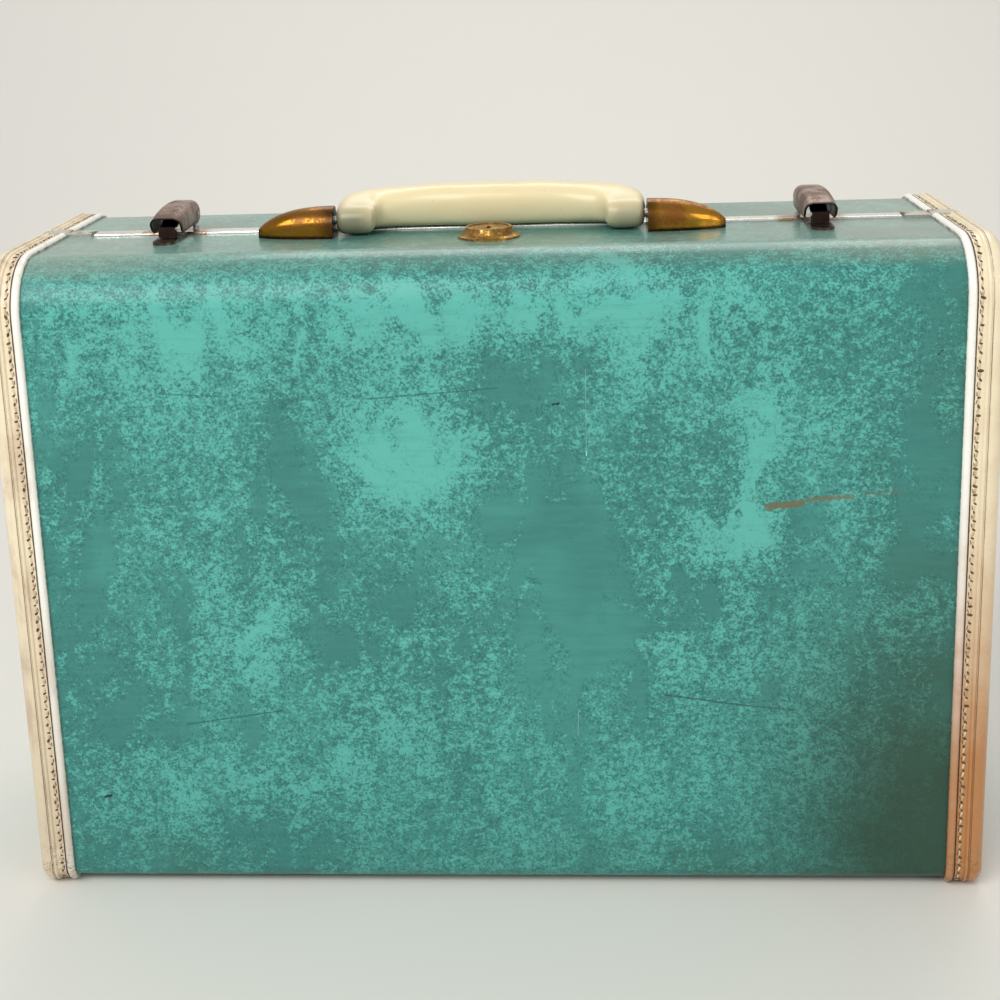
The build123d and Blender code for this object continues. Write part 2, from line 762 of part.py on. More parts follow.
flange_top = inner_top - running_clearance
cam_radius = bolt_travel / (2 * sin(radians(rotor_turn / 2)))
cam_angle = 90 + rotor_turn / 2
cam_x = cam_radius * cos(radians(cam_angle))
cam_y = cam_radius * sin(radians(cam_angle))
bolt_top = inner_top - bolt_drop
bolt_low = bolt_top - bolt_thickness
with BuildPart() as lock_rotor:
    face_level = shell_top + bezel_height - rotor_recess
    with BuildSketch(Plane.XY.offset(face_level)):
        with Locations((0, lock_y)):
            Circle(rotor_radius)
    extrude(amount=flange_top - face_level)
    with BuildSketch(Plane.XY.offset(flange_top)):
        with Locations((0, lock_y)):
            Circle(rotor_flange_radius)
    extrude(amount=-rotor_flange_thickness)
    with BuildSketch(Plane.XY.offset(flange_top - rotor_flange_thickness)):
        with Locations((cam_x, lock_y + cam_y)):
            Circle(rotor_pin_radius)
    extrude(amount=bolt_low - rotor_pin_reach - (flange_top - rotor_flange_thickness))
    with BuildSketch(Plane.XY.offset(face_level)):
        with Locations((0, lock_y)):
            Circle(key_slot_width)
            Rectangle(key_slot_width, key_slot_length)
    extrude(amount=-key_slot_depth, mode=Mode.SUBTRACT)
save(lock_rotor.part, "lock_rotor")

tip_y = (lock_tip_front + lock_tip_rear) / 2
tip_end = hasp_x - hasp_thickness / 2 - bolt_rest_gap
bolt_main_y = lock_y + cam_y
with BuildPart() as lock_bolt:
    with BuildSketch(Plane.XY.offset(bolt_low)):
        with Locations((cam_x, bolt_main_y)):
            Rectangle(bolt_body_length, bolt_body_width)
        with Locations((cam_x, (bolt_main_y + lock_tip_rear) / 2)):
            Rectangle(bolt_arm_width, lock_tip_rear - bolt_main_y)
        arm_left = cam_x - bolt_arm_width / 2
        with Locations(((arm_left + tip_end) / 2, tip_y)):
            Rectangle(tip_end - arm_left, lock_tip_rear - lock_tip_front)
        with Locations((cam_x, lock_y + (cam_y + cam_radius) / 2)):
            slot = 2 * (rotor_pin_radius + bolt_slot_clearance)
            Rectangle(slot, slot + cam_radius - cam_y, mode=Mode.SUBTRACT)
    extrude(amount=bolt_thickness)
save(lock_bolt.part, "lock_bolt")

case_floor = inner_top - lock_case_height
rail_top = bolt_low - running_clearance
with BuildPart() as lock_case:
    with Locations((0, lock_case_y, inner_top - lock_case_height / 2)):
        Box(lock_case_length, lock_case_depth, lock_case_height)
    vertical = lock_case.edges().filter_by(Axis.Z)
    fillet(vertical, lock_case_corner)
    offset(amount=-lock_case_wall, openings=lock_case.faces().sort_by(Axis.Z)[-1])
    rail_low = case_floor + lock_case_wall
    rail_step = bolt_body_width / 2 - rail_width / 2
    with Locations(
        (0, bolt_main_y - rail_step, (rail_low + rail_top) / 2),
        (0, bolt_main_y + rail_step, (rail_low + rail_top) / 2),
    ):
        Box(lock_case_length - 2 * lock_case_wall, rail_width, rail_top - rail_low)
    with Locations((hasp_x, lock_case_rear, inner_top - lock_case_height / 2 + lock_case_wall)):
        slot = hasp_thickness + 2 * hasp_slot_clearance
        Box(slot, 4 * lock_case_wall, lock_case_height, mode=Mode.SUBTRACT)
save(lock_case.part, "lock_case")

hasp_top = inner_top - hasp_drop
hasp_back = hasp_foot_y + hasp_foot_length
with BuildPart() as lock_hasp:
    blade = hasp_back + hasp_reach
    with Locations((hasp_x, (hasp_back - hasp_reach) / 2, hasp_top - hasp_height / 2)):
        Box(hasp_thickness, blade, hasp_height)
    foot_low = inner_top - hasp_foot_thickness
    foot_x = hasp_x - hasp_thickness / 2 + hasp_foot_width / 2
    with Locations((foot_x, hasp_foot_y + hasp_foot_length / 2, (foot_low + inner_top) / 2)):
        Box(hasp_foot_width, hasp_foot_length, hasp_foot_thickness)
    with Locations((hasp_x, tip_y, (bolt_low + bolt_top) / 2)):
        Box(2 * hasp_thickness, hasp_window_length, hasp_window_height, mode=Mode.SUBTRACT)
    add(rivet_holes(hasp_rivets, inner_top, 3 * hasp_foot_thickness), mode=Mode.SUBTRACT)
save(lock_hasp.part, "lock_hasp")
hasp_shank = hasp_foot_thickness + hasp_rivet_bite
save(rivets(hasp_rivets, foot_low, hasp_shank, -1), "hasp_rivets")


def lever_form(inset):
    """The latch lever about x = 0, or its hollow, open at the front, the foot and the tail."""
    radius = lever_end_radius - inset
    half_width = lever_width / 2 - inset
    lip = (lever_lip_y - 2 * inset, lever_lip_height - inset)
    foot = (lever_foot_y - 2 * inset, lever_foot_height - 3 * inset)
    top = (latch_pin_y, latch_pin_height + radius)
    crown = ((lip[0] + top[0]) / 2, (lip[1] + top[1]) / 2 + lever_crown)
    side_view = Plane(origin=(-half_width, 0, shell_top), x_dir=(0, 1, 0), z_dir=(1, 0, 0))
    with BuildPart() as form:
        with BuildSketch(side_view):
            with BuildLine():
                if inset:
                    tail_y = latch_pin_y + radius * cos(radians(lever_tail_angle))
                    tail_z = latch_pin_height + radius * sin(radians(lever_tail_angle))
                    beyond = latch_pin_y + 2 * lever_end_radius
                    Polyline(lip, foot, (beyond, foot[1]), (beyond, tail_z), (tail_y, tail_z), top)
                else:
                    heel = (latch_pin_y - lever_heel_share * radius, lever_foot_height)
                    Polyline(lip, foot, heel, (latch_pin_y, latch_pin_height - radius))
                    CenterArc((latch_pin_y, latch_pin_height), radius, -90, 180)
                ThreePointArc(top, crown, lip)
            make_face()
        extrude(amount=2 * half_width)
        shoulders = form.edges().filter_by(
            lambda e: e.center().Z > shell_top + lip[1]
            and abs(e.center().X) > half_width / 2
            and e.center().Y < latch_pin_y
        )
        fillet(shoulders, lever_shoulder - inset)
    return form.part


# Latches: lever, pin, base bracket and spring hook on the lid, catch plate on the body
for side, side_name in ((LEFT, "left"), (RIGHT, "right")):
    x = side * latch_x
    with BuildPart() as lever:
        add(lever_form(0).moved(Location((x, 0, 0))))
        add(lever_form(lever_wall).moved(Location((x, 0, 0))), mode=Mode.SUBTRACT)
        with Locations(Location((x, latch_pin_y, shell_top + latch_pin_height), (0, 90, 0))):
            bore = latch_pin_radius + running_clearance
            Cylinder(bore, 2 * lever_width, mode=Mode.SUBTRACT)
    save(lever.part, f"latch_lever_{side_name}")
    with BuildPart() as latch_pin:
        with Locations(Location((x, latch_pin_y, shell_top + latch_pin_height), (0, 90, 0))):
            Cylinder(latch_pin_radius, lever_width)
    save(latch_pin.part, f"latch_pin_{side_name}")
    with BuildPart() as latch_base:
        with Locations((x, latch_pin_y, shell_top + latch_base_thickness / 2)):
            Box(latch_base_width, latch_base_length, latch_base_thickness)
        for ear_side in (LEFT, RIGHT):
            inner_face = ear_side * (latch_base_width / 2 - latch_ear_thickness)
            with BuildSketch(Plane.YZ.offset(x + inner_face)):
                with BuildLine():
                    low = shell_top + latch_base_thickness
                    high = shell_top + latch_pin_height
                    near, far = latch_pin_y - latch_ear_radius, latch_pin_y + latch_ear_radius
                    Polyline((near, high), (near, low), (far, low), (far, high))
                    CenterArc((latch_pin_y, high), latch_ear_radius, 0, 180)
                make_face()
            extrude(amount=ear_side * latch_ear_thickness)
        with Locations(Location((x, latch_pin_y, shell_top + latch_pin_height), (0, 90, 0))):
            Cylinder(latch_pin_radius + fit_clearance, 2 * lever_width, mode=Mode.SUBTRACT)
        fixing = rivet_holes(base_rivets, shell_top + latch_base_thickness, 2 * latch_base_thickness)
        add(fixing, mode=Mode.SUBTRACT)
    save(latch_base.part, f"latch_base_{side_name}")
    with BuildPart() as hook:
        with BuildSketch(Plane.YZ.offset(x - hook_width / 2)):
            under = shell_top + lever_lip_height - lever_wall - hook_thickness / 2
            with BuildLine():
                Polyline(
                    (hook_root_y, under + hook_root_rise),
                    (hook_root_y - hook_root_length, under + hook_root_rise - hook_root_drop),
                    (hook_nose_y + hook_shank_length, shell_top + hook_level),
                    (hook_nose_y, shell_top + hook_level),
                    (hook_nose_y, shell_top + catch_thickness + hook_nose_gap),
                )
            trace(line_width=hook_thickness)
        extrude(amount=hook_width)
        add(lever.part, mode=Mode.SUBTRACT)
    save(hook.part, f"latch_hook_{side_name}")
    with BuildPart() as catch:
        with BuildSketch(Plane.XY.offset(shell_top)):
            rear_y = catch_front_y + catch_length
            front_centre = catch_front_y + catch_width / 2
            with Locations((x, (front_centre + rear_y) / 2)):
                Rectangle(catch_width, rear_y - front_centre)
            with Locations((x, front_centre)):
                Circle(catch_width / 2)
        extrude(amount=catch_thickness)
        with Locations((x, catch_tab_y, shell_top + catch_thickness + catch_tab_height / 2)):
            Box(catch_tab_width, catch_tab_thickness, catch_tab_height)
        corners = catch.edges().filter_by(Axis.Y).group_by(Axis.Z)[-1]
        fillet(corners, catch_tab_corner)
        fixing = rivet_holes(catch_rivets, shell_top + catch_thickness, 2 * catch_thickness)
        add(fixing, mode=Mode.SUBTRACT)
    save(catch.part, f"latch_catch_{side_name}")
save(
    rivets(catch_rivets, shell_top + catch_thickness, catch_thickness + wall), "latch_catch_rivets"
)
save(rivets(base_rivets, inner_top, latch_base_thickness + wall, -1), "latch_base_rivets")

# Gathered cloth pocket on the lid's back lining
pocket_back = half_depth - wall - lining_thickness
pocket_middle = shell_base + pocket_base_height + pocket_height / 2
with BuildPart() as lid_pocket:
    front = (pocket_front_inset, 1.0)
    for inset, reach in ((0, 0), (pocket_edge_inset, pocket_edge_share), front):
        depth = pocket_back - reach * (pocket_thickness + pocket_bulge)
        plane = Plane(origin=(0, depth, pocket_middle), x_dir=(1, 0, 0), z_dir=(0, -1, 0))
        with BuildSketch(plane):
            RectangleRounded(pocket_length - 2 * inset, pocket_height - 2 * inset, pocket_corner)
    loft(ruled=True)
save(lid_pocket.part, "lid_pocket")
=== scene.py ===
# %% [markdown]
# # A marbled hard-shell suitcase
#
# The solids come from the CAD model and are already the right size and in the right place.
# This lesson dresses them: each finish is built from shader nodes, and the pieces that a CAD
# program describes badly, such as stitches and a gathered cloth pocket, are modelled here.

# %% Load the solids
from math import cos, pi, radians, sin

import bmesh
import bpy
from mathutils import Matrix, Vector, noise


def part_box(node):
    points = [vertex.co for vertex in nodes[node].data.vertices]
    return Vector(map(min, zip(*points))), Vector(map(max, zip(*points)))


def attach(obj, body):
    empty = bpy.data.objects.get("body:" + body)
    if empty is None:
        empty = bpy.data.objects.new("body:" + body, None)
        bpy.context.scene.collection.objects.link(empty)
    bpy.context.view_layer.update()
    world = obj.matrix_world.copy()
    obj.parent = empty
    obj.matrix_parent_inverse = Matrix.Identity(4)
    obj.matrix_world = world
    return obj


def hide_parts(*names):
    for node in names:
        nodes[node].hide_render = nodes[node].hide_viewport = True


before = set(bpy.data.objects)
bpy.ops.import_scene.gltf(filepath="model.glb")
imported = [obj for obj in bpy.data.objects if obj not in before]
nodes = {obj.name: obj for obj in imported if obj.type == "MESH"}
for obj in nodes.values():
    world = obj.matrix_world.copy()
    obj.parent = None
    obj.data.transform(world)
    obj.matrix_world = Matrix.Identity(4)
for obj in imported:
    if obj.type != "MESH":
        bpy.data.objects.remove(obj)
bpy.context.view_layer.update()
print(len(nodes), "solids from the CAD model")

# %% [markdown]
# ## The camera
#
# The photograph was taken a little above the top edge, looking down by 14 degrees and turned
# slightly to the left, with the case low in the frame. A lens shift moves the middle of the
# view without tilting the camera, so upright edges keep their slant.

# %% Camera
camera_place = Vector((0.0404, -0.7834, 0.4357))
camera_turn, camera_tip, camera_roll = 0.0678, 0.2372, -0.0341  # in radians
frame_pixels = 1000
focal_pixels = 1615.2
centre_pixel = (470.4, 354.5)

ahead = Vector((
    -sin(camera_turn) * cos(camera_tip),
    cos(camera_turn) * cos(camera_tip),
    -sin(camera_tip),
))
level = Vector((cos(camera_turn), sin(camera_turn), 0))
upright = level.cross(ahead)
to_right = cos(camera_roll) * level + sin(camera_roll) * upright
to_top = cos(camera_roll) * upright - sin(camera_roll) * level

camera_data = bpy.data.cameras.new("camera")
camera_data.sensor_width = 36
camera_data.lens = camera_data.sensor_width * focal_pixels / frame_pixels
camera_data.shift_x = 0.5 - centre_pixel[0] / frame_pixels
camera_data.shift_y = centre_pixel[1] / frame_pixels - 0.5
camera = bpy.data.objects.new("camera", camera_data)
camera_axes = Matrix((to_right, to_top, -ahead)).transposed().to_4x4()
camera.matrix_world = Matrix.Translation(camera_place) @ camera_axes
bpy.context.scene.collection.objects.link(camera)
bpy.context.scene.camera = camera
bpy.context.scene.view_settings.view_transform = "Standard"
print("lens", round(camera_data.lens, 1), "mm")

# %% [markdown]
# ## Shader maths
#
# A node tree is easier to read as a formula. `Wire` wraps one socket, so that `1 - mask` or
# `grain * 0.3` adds the Math nodes by itself. `Paint` is one material: its method `node` adds
# any other node, with its settings first and its inputs after.

# %% Sockets that add up
class Wire:
    """A shader socket that can be used in an expression."""

    def __init__(self, paint, socket):
        self.paint = paint
        self.socket = socket

    def math(self, operation, *others):
        return self.paint.node("ShaderNodeMath", self, *others, operation=operation)

    def __add__(self, other):
        return self.math("ADD", other)

    def __sub__(self, other):
        return self.math("SUBTRACT", other)

    def __mul__(self, other):
        return self.math("MULTIPLY", other)

    def __rsub__(self, other):
        return self.paint.node("ShaderNodeMath", other, self, operation="SUBTRACT")

    __radd__ = __add__
    __rmul__ = __mul__

    def band(self, low, high):
        """0 below low, 1 above high, and a smooth step between them; low may be the larger."""
        return self.paint.node(
            "ShaderNodeMapRange", self, low, high, 0.0, 1.0, interpolation_type="SMOOTHSTEP"
        )


# %% One material
class Paint:
    """One material and the nodes that feed it."""

    def __init__(self, name):
        self.material = bpy.data.materials.new(name)
        self.material.use_nodes = True
        self.tree = self.material.node_tree
        self.shader = self.tree.nodes["Principled BSDF"]
        self.place = self.node("ShaderNodeTexCoord", output="Object")
        self.x, self.y, self.z = (
            self.node("ShaderNodeSeparateXYZ", self.place, output=axis) for axis in range(3)
        )

    def plug(self, socket, value):
        if isinstance(value, Wire):
            self.tree.links.new(value.socket, socket)
        else:
            socket.default_value = value

    def node(self, kind, *values, output=0, named=None, **settings):
        """Adds a node with its settings, plugs in its values, and wraps one output."""
        made = self.tree.nodes.new(kind)
        for key, value in settings.items():
            setattr(made, key, value)
        for socket, value in zip(made.inputs, values):
            self.plug(socket, value)
        for key, value in (named or {}).items():
            self.plug(made.inputs[key], value)
        return Wire(self, made.outputs[output])

    def stretched(self, scale, shift=(0, 0, 0)):
        """Object coordinates, scaled on each axis and moved before a pattern reads them."""
        return self.node("ShaderNodeMapping", self.place, shift, (0, 0, 0), scale)

    def clouds(self, scale, detail=2.0, roughness=0.5, distortion=0.0, at=None):
        """Soft noise from 0 to 1 with spots about 1 / scale metres wide."""
        sockets = {
            "Vector": at or self.place,
            "Scale": scale,
            "Detail": detail,
            "Roughness": roughness,
            "Distortion": distortion,
        }
        return self.node("ShaderNodeTexNoise", named=sockets)

    def cells(self, scale, feature="F1"):
        """Distance to scattered points about 1 / scale metres apart."""
        sockets = {"Vector": self.place, "Scale": scale}
        return self.node("ShaderNodeTexVoronoi", named=sockets, feature=feature, output="Distance")

    def blend(self, amount, first, second):
        """Mixes two colours. A Mix node has sockets for every type: 6, 7 and 2 are the colours."""
        made = self.tree.nodes.new("ShaderNodeMix")
        made.data_type = "RGBA"
        for index, value in ((0, amount), (6, first), (7, second)):
            self.plug(made.inputs[index], (*value, 1) if isinstance(value, tuple) else value)
        return Wire(self, made.outputs[2])

    def relief(self, height, depth, strength=1.0, under=None):
        """Bumps of a depth in metres, on top of other bumps if there are any."""
        sockets = {"Strength": strength, "Distance": depth, "Height": height}
        if under:
            sockets["Normal"] = under
        return self.node("ShaderNodeBump", named=sockets)

    def finish(self, **sockets):
        """Plugs values into the Principled shader by name, with _ for a space."""
        for key, value in sockets.items():
            name = key.replace("_", " ")
            self.plug(self.shader.inputs[name], (*value, 1) if isinstance(value, tuple) else value)
        return self.material


def dress(material, *names):
    """Gives CAD nodes one material in place of their own."""
    for name in names:
        slots = nodes[name].data.materials
        slots.clear()
        slots.append(material)


def in_scene(name, data):
    """Makes an object of a mesh or a lamp and puts it in the scene."""
    made = bpy.data.objects.new(name, data)
    bpy.context.scene.collection.objects.link(made)
    return made


def meshed(name, shape, material=None, smooth=True):
    """Turns a bmesh into an object at the origin."""
    for face in shape.faces:
        face.smooth = smooth
    mesh = bpy.data.meshes.new(name)
    shape.to_mesh(mesh)
    shape.free()
    if material:
        mesh.materials.append(material)
    return in_scene(name, mesh)


def new_piece(name, shape, material, body, smooth=True):
    """Makes a piece of the case from a bmesh; it rides on its body."""
    piece = meshed(name, shape, material, smooth)
    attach(piece, body)
    return piece


def per_side(pattern):
    """The names that a pattern gives for the left and the right side."""
    return [pattern.format(side) for side in ("left", "right")]


print("shader helpers ready")

# %% [markdown]
# ## Marbled vinyl
#
# The covering is a printed vinyl: a plain mid teal ground with a lighter mint laid over it by
# a rag. Where the rag pressed, the mint is solid; round it the mint breaks up into light and
# dark specks of about half a millimetre. So one slow pattern says how much mint there is, and
# a fine one breaks it up. The front's large patches are placed to follow the case.

# %% The vinyl's two colours and its patches
teal_ground = (0.056, 0.262, 0.232)
teal_deep = (0.044, 0.212, 0.188)
teal_shade = (0.020, 0.135, 0.125)
mint = (0.112, 0.470, 0.408)
bare_board = (0.150, 0.132, 0.070)
scuff = (0.030, 0.085, 0.078)
green_grime_and_shade = (0.045, 0.110, 0.075)
olive_corner_shade = (0.024, 0.042, 0.018)
grey_dust_and_sheen = (0.17, 0.18, 0.135)
pale_dust_and_sheen = (0.50, 0.48, 0.40)
patch_strength = 0.62

# Each patch of the front: x, z, half width and half height in metres, and how much more mint
front_patches = [
    (-0.175, 0.265, 0.040, 0.040, 0.16),
    (-0.195, 0.205, 0.030, 0.055, -0.20),
    (-0.140, 0.205, 0.024, 0.050, 0.18),
    (-0.185, 0.150, 0.045, 0.030, -0.16),
    (-0.118, 0.128, 0.038, 0.032, 0.26),
    (-0.190, 0.110, 0.030, 0.020, -0.06),
    (-0.150, 0.085, 0.060, 0.016, -0.20),
    (-0.165, 0.055, 0.040, 0.022, 0.20),
    (-0.110, 0.050, 0.060, 0.026, 0.14),
    (-0.085, 0.190, 0.026, 0.050, -0.22),
    (-0.080, 0.130, 0.022, 0.030, -0.16),
    (-0.130, 0.280, 0.026, 0.024, 0.22),
    (-0.065, 0.270, 0.050, 0.026, 0.15),
    (-0.025, 0.285, 0.040, 0.018, 0.45),
    (-0.030, 0.225, 0.034, 0.032, 0.51),
    (-0.040, 0.195, 0.020, 0.018, 0.21),
    (0.045, 0.290, 0.055, 0.022, 0.33),
    (0.065, 0.262, 0.018, 0.022, 0.24),
    (0.015, 0.245, 0.040, 0.016, -0.18),
    (0.020, 0.180, 0.045, 0.030, -0.36),
    (0.040, 0.130, 0.050, 0.040, -0.45),
    (-0.040, 0.160, 0.030, 0.020, -0.15),
    (-0.012, 0.150, 0.014, 0.024, 0.24),
    (-0.030, 0.100, 0.055, 0.024, 0.09),
    (-0.035, 0.070, 0.050, 0.030, 0.24),
    (0.030, 0.070, 0.040, 0.030, -0.15),
    (0.062, 0.055, 0.016, 0.036, 0.30),
    (0.078, 0.128, 0.011, 0.030, 0.51),
    (0.092, 0.100, 0.010, 0.024, 0.33),
    (0.100, 0.250, 0.030, 0.045, 0.18),
    (0.122, 0.215, 0.014, 0.050, 0.54),
    (0.105, 0.178, 0.026, 0.018, 0.45),
    (0.115, 0.140, 0.013, 0.040, 0.36),
    (0.092, 0.150, 0.014, 0.018, -0.27),
    (0.155, 0.255, 0.030, 0.040, 0.12),
    (0.145, 0.170, 0.022, 0.030, -0.21),
    (0.160, 0.120, 0.030, 0.045, 0.03),
    (0.150, 0.060, 0.030, 0.030, 0.12),
    (0.128, 0.060, 0.010, 0.045, -0.21),
    (0.198, 0.180, 0.028, 0.110, -0.18),
    (0.212, 0.250, 0.014, 0.030, 0.30),
    (0.205, 0.060, 0.024, 0.050, -0.21),
    # The last two rows lighten a wide band under the top shoulder: a painted highlight.
    (-0.090, 0.284, 0.130, 0.017, 0.17),
    (0.100, 0.286, 0.100, 0.015, 0.15),
]

# Scratches and cracks of the front: two ends as x, z, half width in metres, colour, strength
front_marks = [
    ((0.1255, 0.1924), (0.1400, 0.1940), 0.0021, bare_board, 0.85),
    ((0.1430, 0.1955), (0.1630, 0.1968), 0.0014, bare_board, 0.7),
    ((0.1690, 0.1978), (0.1850, 0.1990), 0.0009, bare_board, 0.4),
    ((0.0786, 0.1002), (0.1170, 0.0945), 0.0005, scuff, 0.8),
    ((0.1170, 0.0945), (0.1380, 0.0925), 0.0004, scuff, 0.6),
    ((0.1480, 0.0880), (0.1973, 0.0600), 0.0004, scuff, 0.7),
    ((-0.1490, 0.0860), (-0.1020, 0.0930), 0.0005, teal_shade, 0.8),
    ((-0.0550, 0.2460), (0.0040, 0.2500), 0.0005, teal_shade, 0.7),
    ((-0.1500, 0.2500), (-0.1180, 0.2480), 0.0004, teal_shade, 0.6),
    ((0.0438, 0.2190), (0.0440, 0.2580), 0.00014, (0.300, 0.560, 0.500), 0.6),
    ((0.0438, 0.2180), (0.0438, 0.2196), 0.0003, (0.500, 0.750, 0.700), 0.9),
    ((0.0377, 0.0800), (0.0380, 0.0920), 0.0002, (0.300, 0.500, 0.450), 0.7),
    ((-0.1925, 0.0478), (-0.1895, 0.0484), 0.0007, (0.010, 0.020, 0.018), 1.0),
    ((0.0290, 0.2420), (0.0318, 0.2424), 0.0006, (0.010, 0.030, 0.026), 1.0),
    ((0.1990, 0.2620), (0.2010, 0.2640), 0.0004, (0.010, 0.030, 0.026), 0.9),
]


def segment_distance(paint, start, end):
    """Distance in the X and Z plane from each point of a surface to a straight scratch."""
    along = Vector((end[0] - start[0], 0, end[1] - start[1]))
    flat = paint.node("ShaderNodeVectorMath", paint.place, (1, 0, 1), operation="MULTIPLY")
    offset = paint.node("ShaderNodeVectorMath", flat, (start[0], 0, start[1]), operation="SUBTRACT")
    unit = along.normalized()
    travel = paint.node("ShaderNodeVectorMath", offset, unit, operation="DOT_PRODUCT", output="Value")
    share = paint.node("ShaderNodeClamp", travel, 0.0, along.length)
    reached = paint.node("ShaderNodeVectorMath", unit, named={"Scale": share}, operation="SCALE")
    return paint.node("ShaderNodeVectorMath", offset, reached, operation="DISTANCE", output="Value")


def marbled_vinyl(name, patches, marks, shift):
    """The two-tone marbled covering, with its own patches and scratches on the outside."""
    paint = Paint(name)
    slow = paint.clouds(12, 3, 0.55, 0.8, paint.stretched((1.0, 1.0, 0.75), shift))
    wisps = paint.clouds(40, 5, 0.62, 1.2, paint.stretched((1.0, 1.0, 0.6), shift))
    cover = 0.5 + (slow - 0.5) * (0.5 if patches else 1.2) + (wisps - 0.5) * 1.25
    front = paint.y.band(-0.052, -0.066)
    for x, z, half_width, half_height, gain in patches:
        near = paint.node(
            "ShaderNodeMapping", paint.place, (-x / half_width, 0, -z / half_height), (0, 0, 0),
            (1 / half_width, 0, 1 / half_height),
        )
        reach = paint.node("ShaderNodeVectorMath", near, operation="LENGTH", output="Value")
        cover = cover + reach.band(1.5, 0.2) * front * (gain * patch_strength)
    specks = paint.clouds(1000, 3, 0.65, 0.0, paint.stretched((0.8, 1.0, 1.0), shift))
    blots = paint.clouds(300, 3, 0.55, 0.6, paint.stretched((0.8, 1.0, 1.0), shift))
    pits = paint.clouds(1050, 2, 0.6, 0.0, paint.stretched((0.9, 1.0, 0.8), shift))
    solid = cover.band(0.66, 0.92) * 0.32 - cover.band(0.46, 0.26) * 0.45
    print_edge = (cover - 0.55) * 1.1 + (specks - 0.5) * 3.0 + (blots - 0.5) * 1.7 + solid
    minted = print_edge.band(-0.20, 0.45)
    broken = (
        cover.band(0.20, 0.45) * cover.band(0.95, 0.72)
        * (pits + (blots - 0.5) * 0.35).band(0.50, 0.36)
    )
    fibre = paint.clouds(420, 3, 0.6, 0.0, paint.stretched((0.12, 1.0, 1.0)))
    colour = paint.blend(slow.band(0.42, 0.6), teal_deep, teal_ground)
    colour = paint.blend(minted * 0.9, colour, mint)
    colour = paint.blend(broken * 0.8, colour, teal_shade)
    colour = paint.blend(fibre.band(0.42, 0.75) * 0.08, colour, mint)
    colour = paint.blend(fibre.band(0.5, 0.28) * 0.15, colour, teal_shade)
    worn = paint.clouds(26, 4, 0.6)
    # Patchy dirt and painted shade: darker at the bottom and towards the right end.
    grime_and_shade = (paint.z.band(0.05, 0.0) * 0.5 + paint.x.band(0.13, 0.22) * 0.35) * worn.band(0.3, 0.75)
    colour = paint.blend(grime_and_shade, colour, green_grime_and_shade)
    if patches:
        # Painted shade: an olive darkening of the front's lower right corner.
        low_right_shade = paint.x.band(0.085, 0.208) * paint.z.band(0.205, 0.02) * (0.85 + worn * 0.4)
        low_right_shade = low_right_shade * paint.y.band(-0.005, -0.070)
        colour = paint.blend(low_right_shade.math("MINIMUM", 0.9), colour, olive_corner_shade)
    # Painted shade: darker towards the bottom.
    colour = paint.blend(paint.z.band(0.13, 0.02) * 0.14, colour, teal_shade)
    # The top and its shoulder are greyed by dust and wear and by a painted reflection of the sky, paler
    # at the ends.
    top_dust_and_sheen = paint.z.band(0.2995, 0.3075)
    colour = paint.blend(top_dust_and_sheen * 0.32, colour, grey_dust_and_sheen)
    ends = paint.x.math("ABSOLUTE").band(0.10, 0.20)
    colour = paint.blend(top_dust_and_sheen * ends * 0.2, colour, pale_dust_and_sheen)
    dent = 0.0
    for start, end, half_width, shade, strength in marks:
        far = segment_distance(paint, start, end) + (specks - 0.5) * (half_width * 1.6)
        hit = far.band(half_width, half_width * 0.55) * front * strength
        colour = paint.blend(hit, colour, shade)
        dent = hit + dent
    roughness = 0.36 + (worn - 0.5) * 0.2 + (specks - 0.5) * 0.12
    bump = paint.relief(fibre, 0.00010, 0.45)
    bump = paint.relief(paint.clouds(1500, 2), 0.00004, 0.35, bump)
    bump = paint.relief(paint.clouds(9, 2), 0.0016, 0.28, bump)
    if marks:
        bump = paint.relief(1 - dent, 0.0002, 0.6, bump)
    return paint.finish(
        Base_Color=colour, Roughness=roughness, Normal=bump, Specular_IOR_Level=0.3,
        Coat_Weight=paint.z.band(0.3072, 0.3079) * 0.45, Coat_Roughness=0.16, Coat_IOR=1.5,
    )


front_vinyl = marbled_vinyl("marbled vinyl, front", front_patches, front_marks, (0.0, 0.0, 0.0))
rear_vinyl = marbled_vinyl("marbled vinyl, rear", [], [], (3.1, 1.7, 0.4))
dress(front_vinyl, "body_shell")
dress(rear_vinyl, "lid_shell")
print("vinyl:", len(front_vinyl.node_tree.nodes), "nodes")

# %% [markdown]
# ## Cream bindings
#
# The ends are bound in cream vinyl that has yellowed, and the right one has gone tan near the
# floor, where it was handled and knocked. Dirt sits in the two grooves beside the stitched
# strip, so its colour follows the distance from the case's middle.

# %% Sizes that the trim shares, most of them read from the solids
shell_low, shell_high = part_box("body_shell")
strip_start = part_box("binding_body_right")[0].x
strip_width = 0.0044
ridge_line = strip_start + strip_width + 0.001
cover_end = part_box("handle_cover_right")[0].x
lever_low, lever_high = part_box("latch_lever_right")
latch_middle = (lever_low.x + lever_high.x) / 2
latch_pin_y = 0.012
lever_lip_height = 0.0116
lever_foot_y = -0.0205


# %% Cream vinyl
yellow_age = (0.66, 0.50, 0.31)
tan_age = (0.41, 0.145, 0.018)
shaded_cream = (0.48, 0.38, 0.27)
rubbed_brown = (0.42, 0.27, 0.20)
groove_dirt = (0.085, 0.045, 0.022)
dirt_speck = (0.13, 0.07, 0.04)


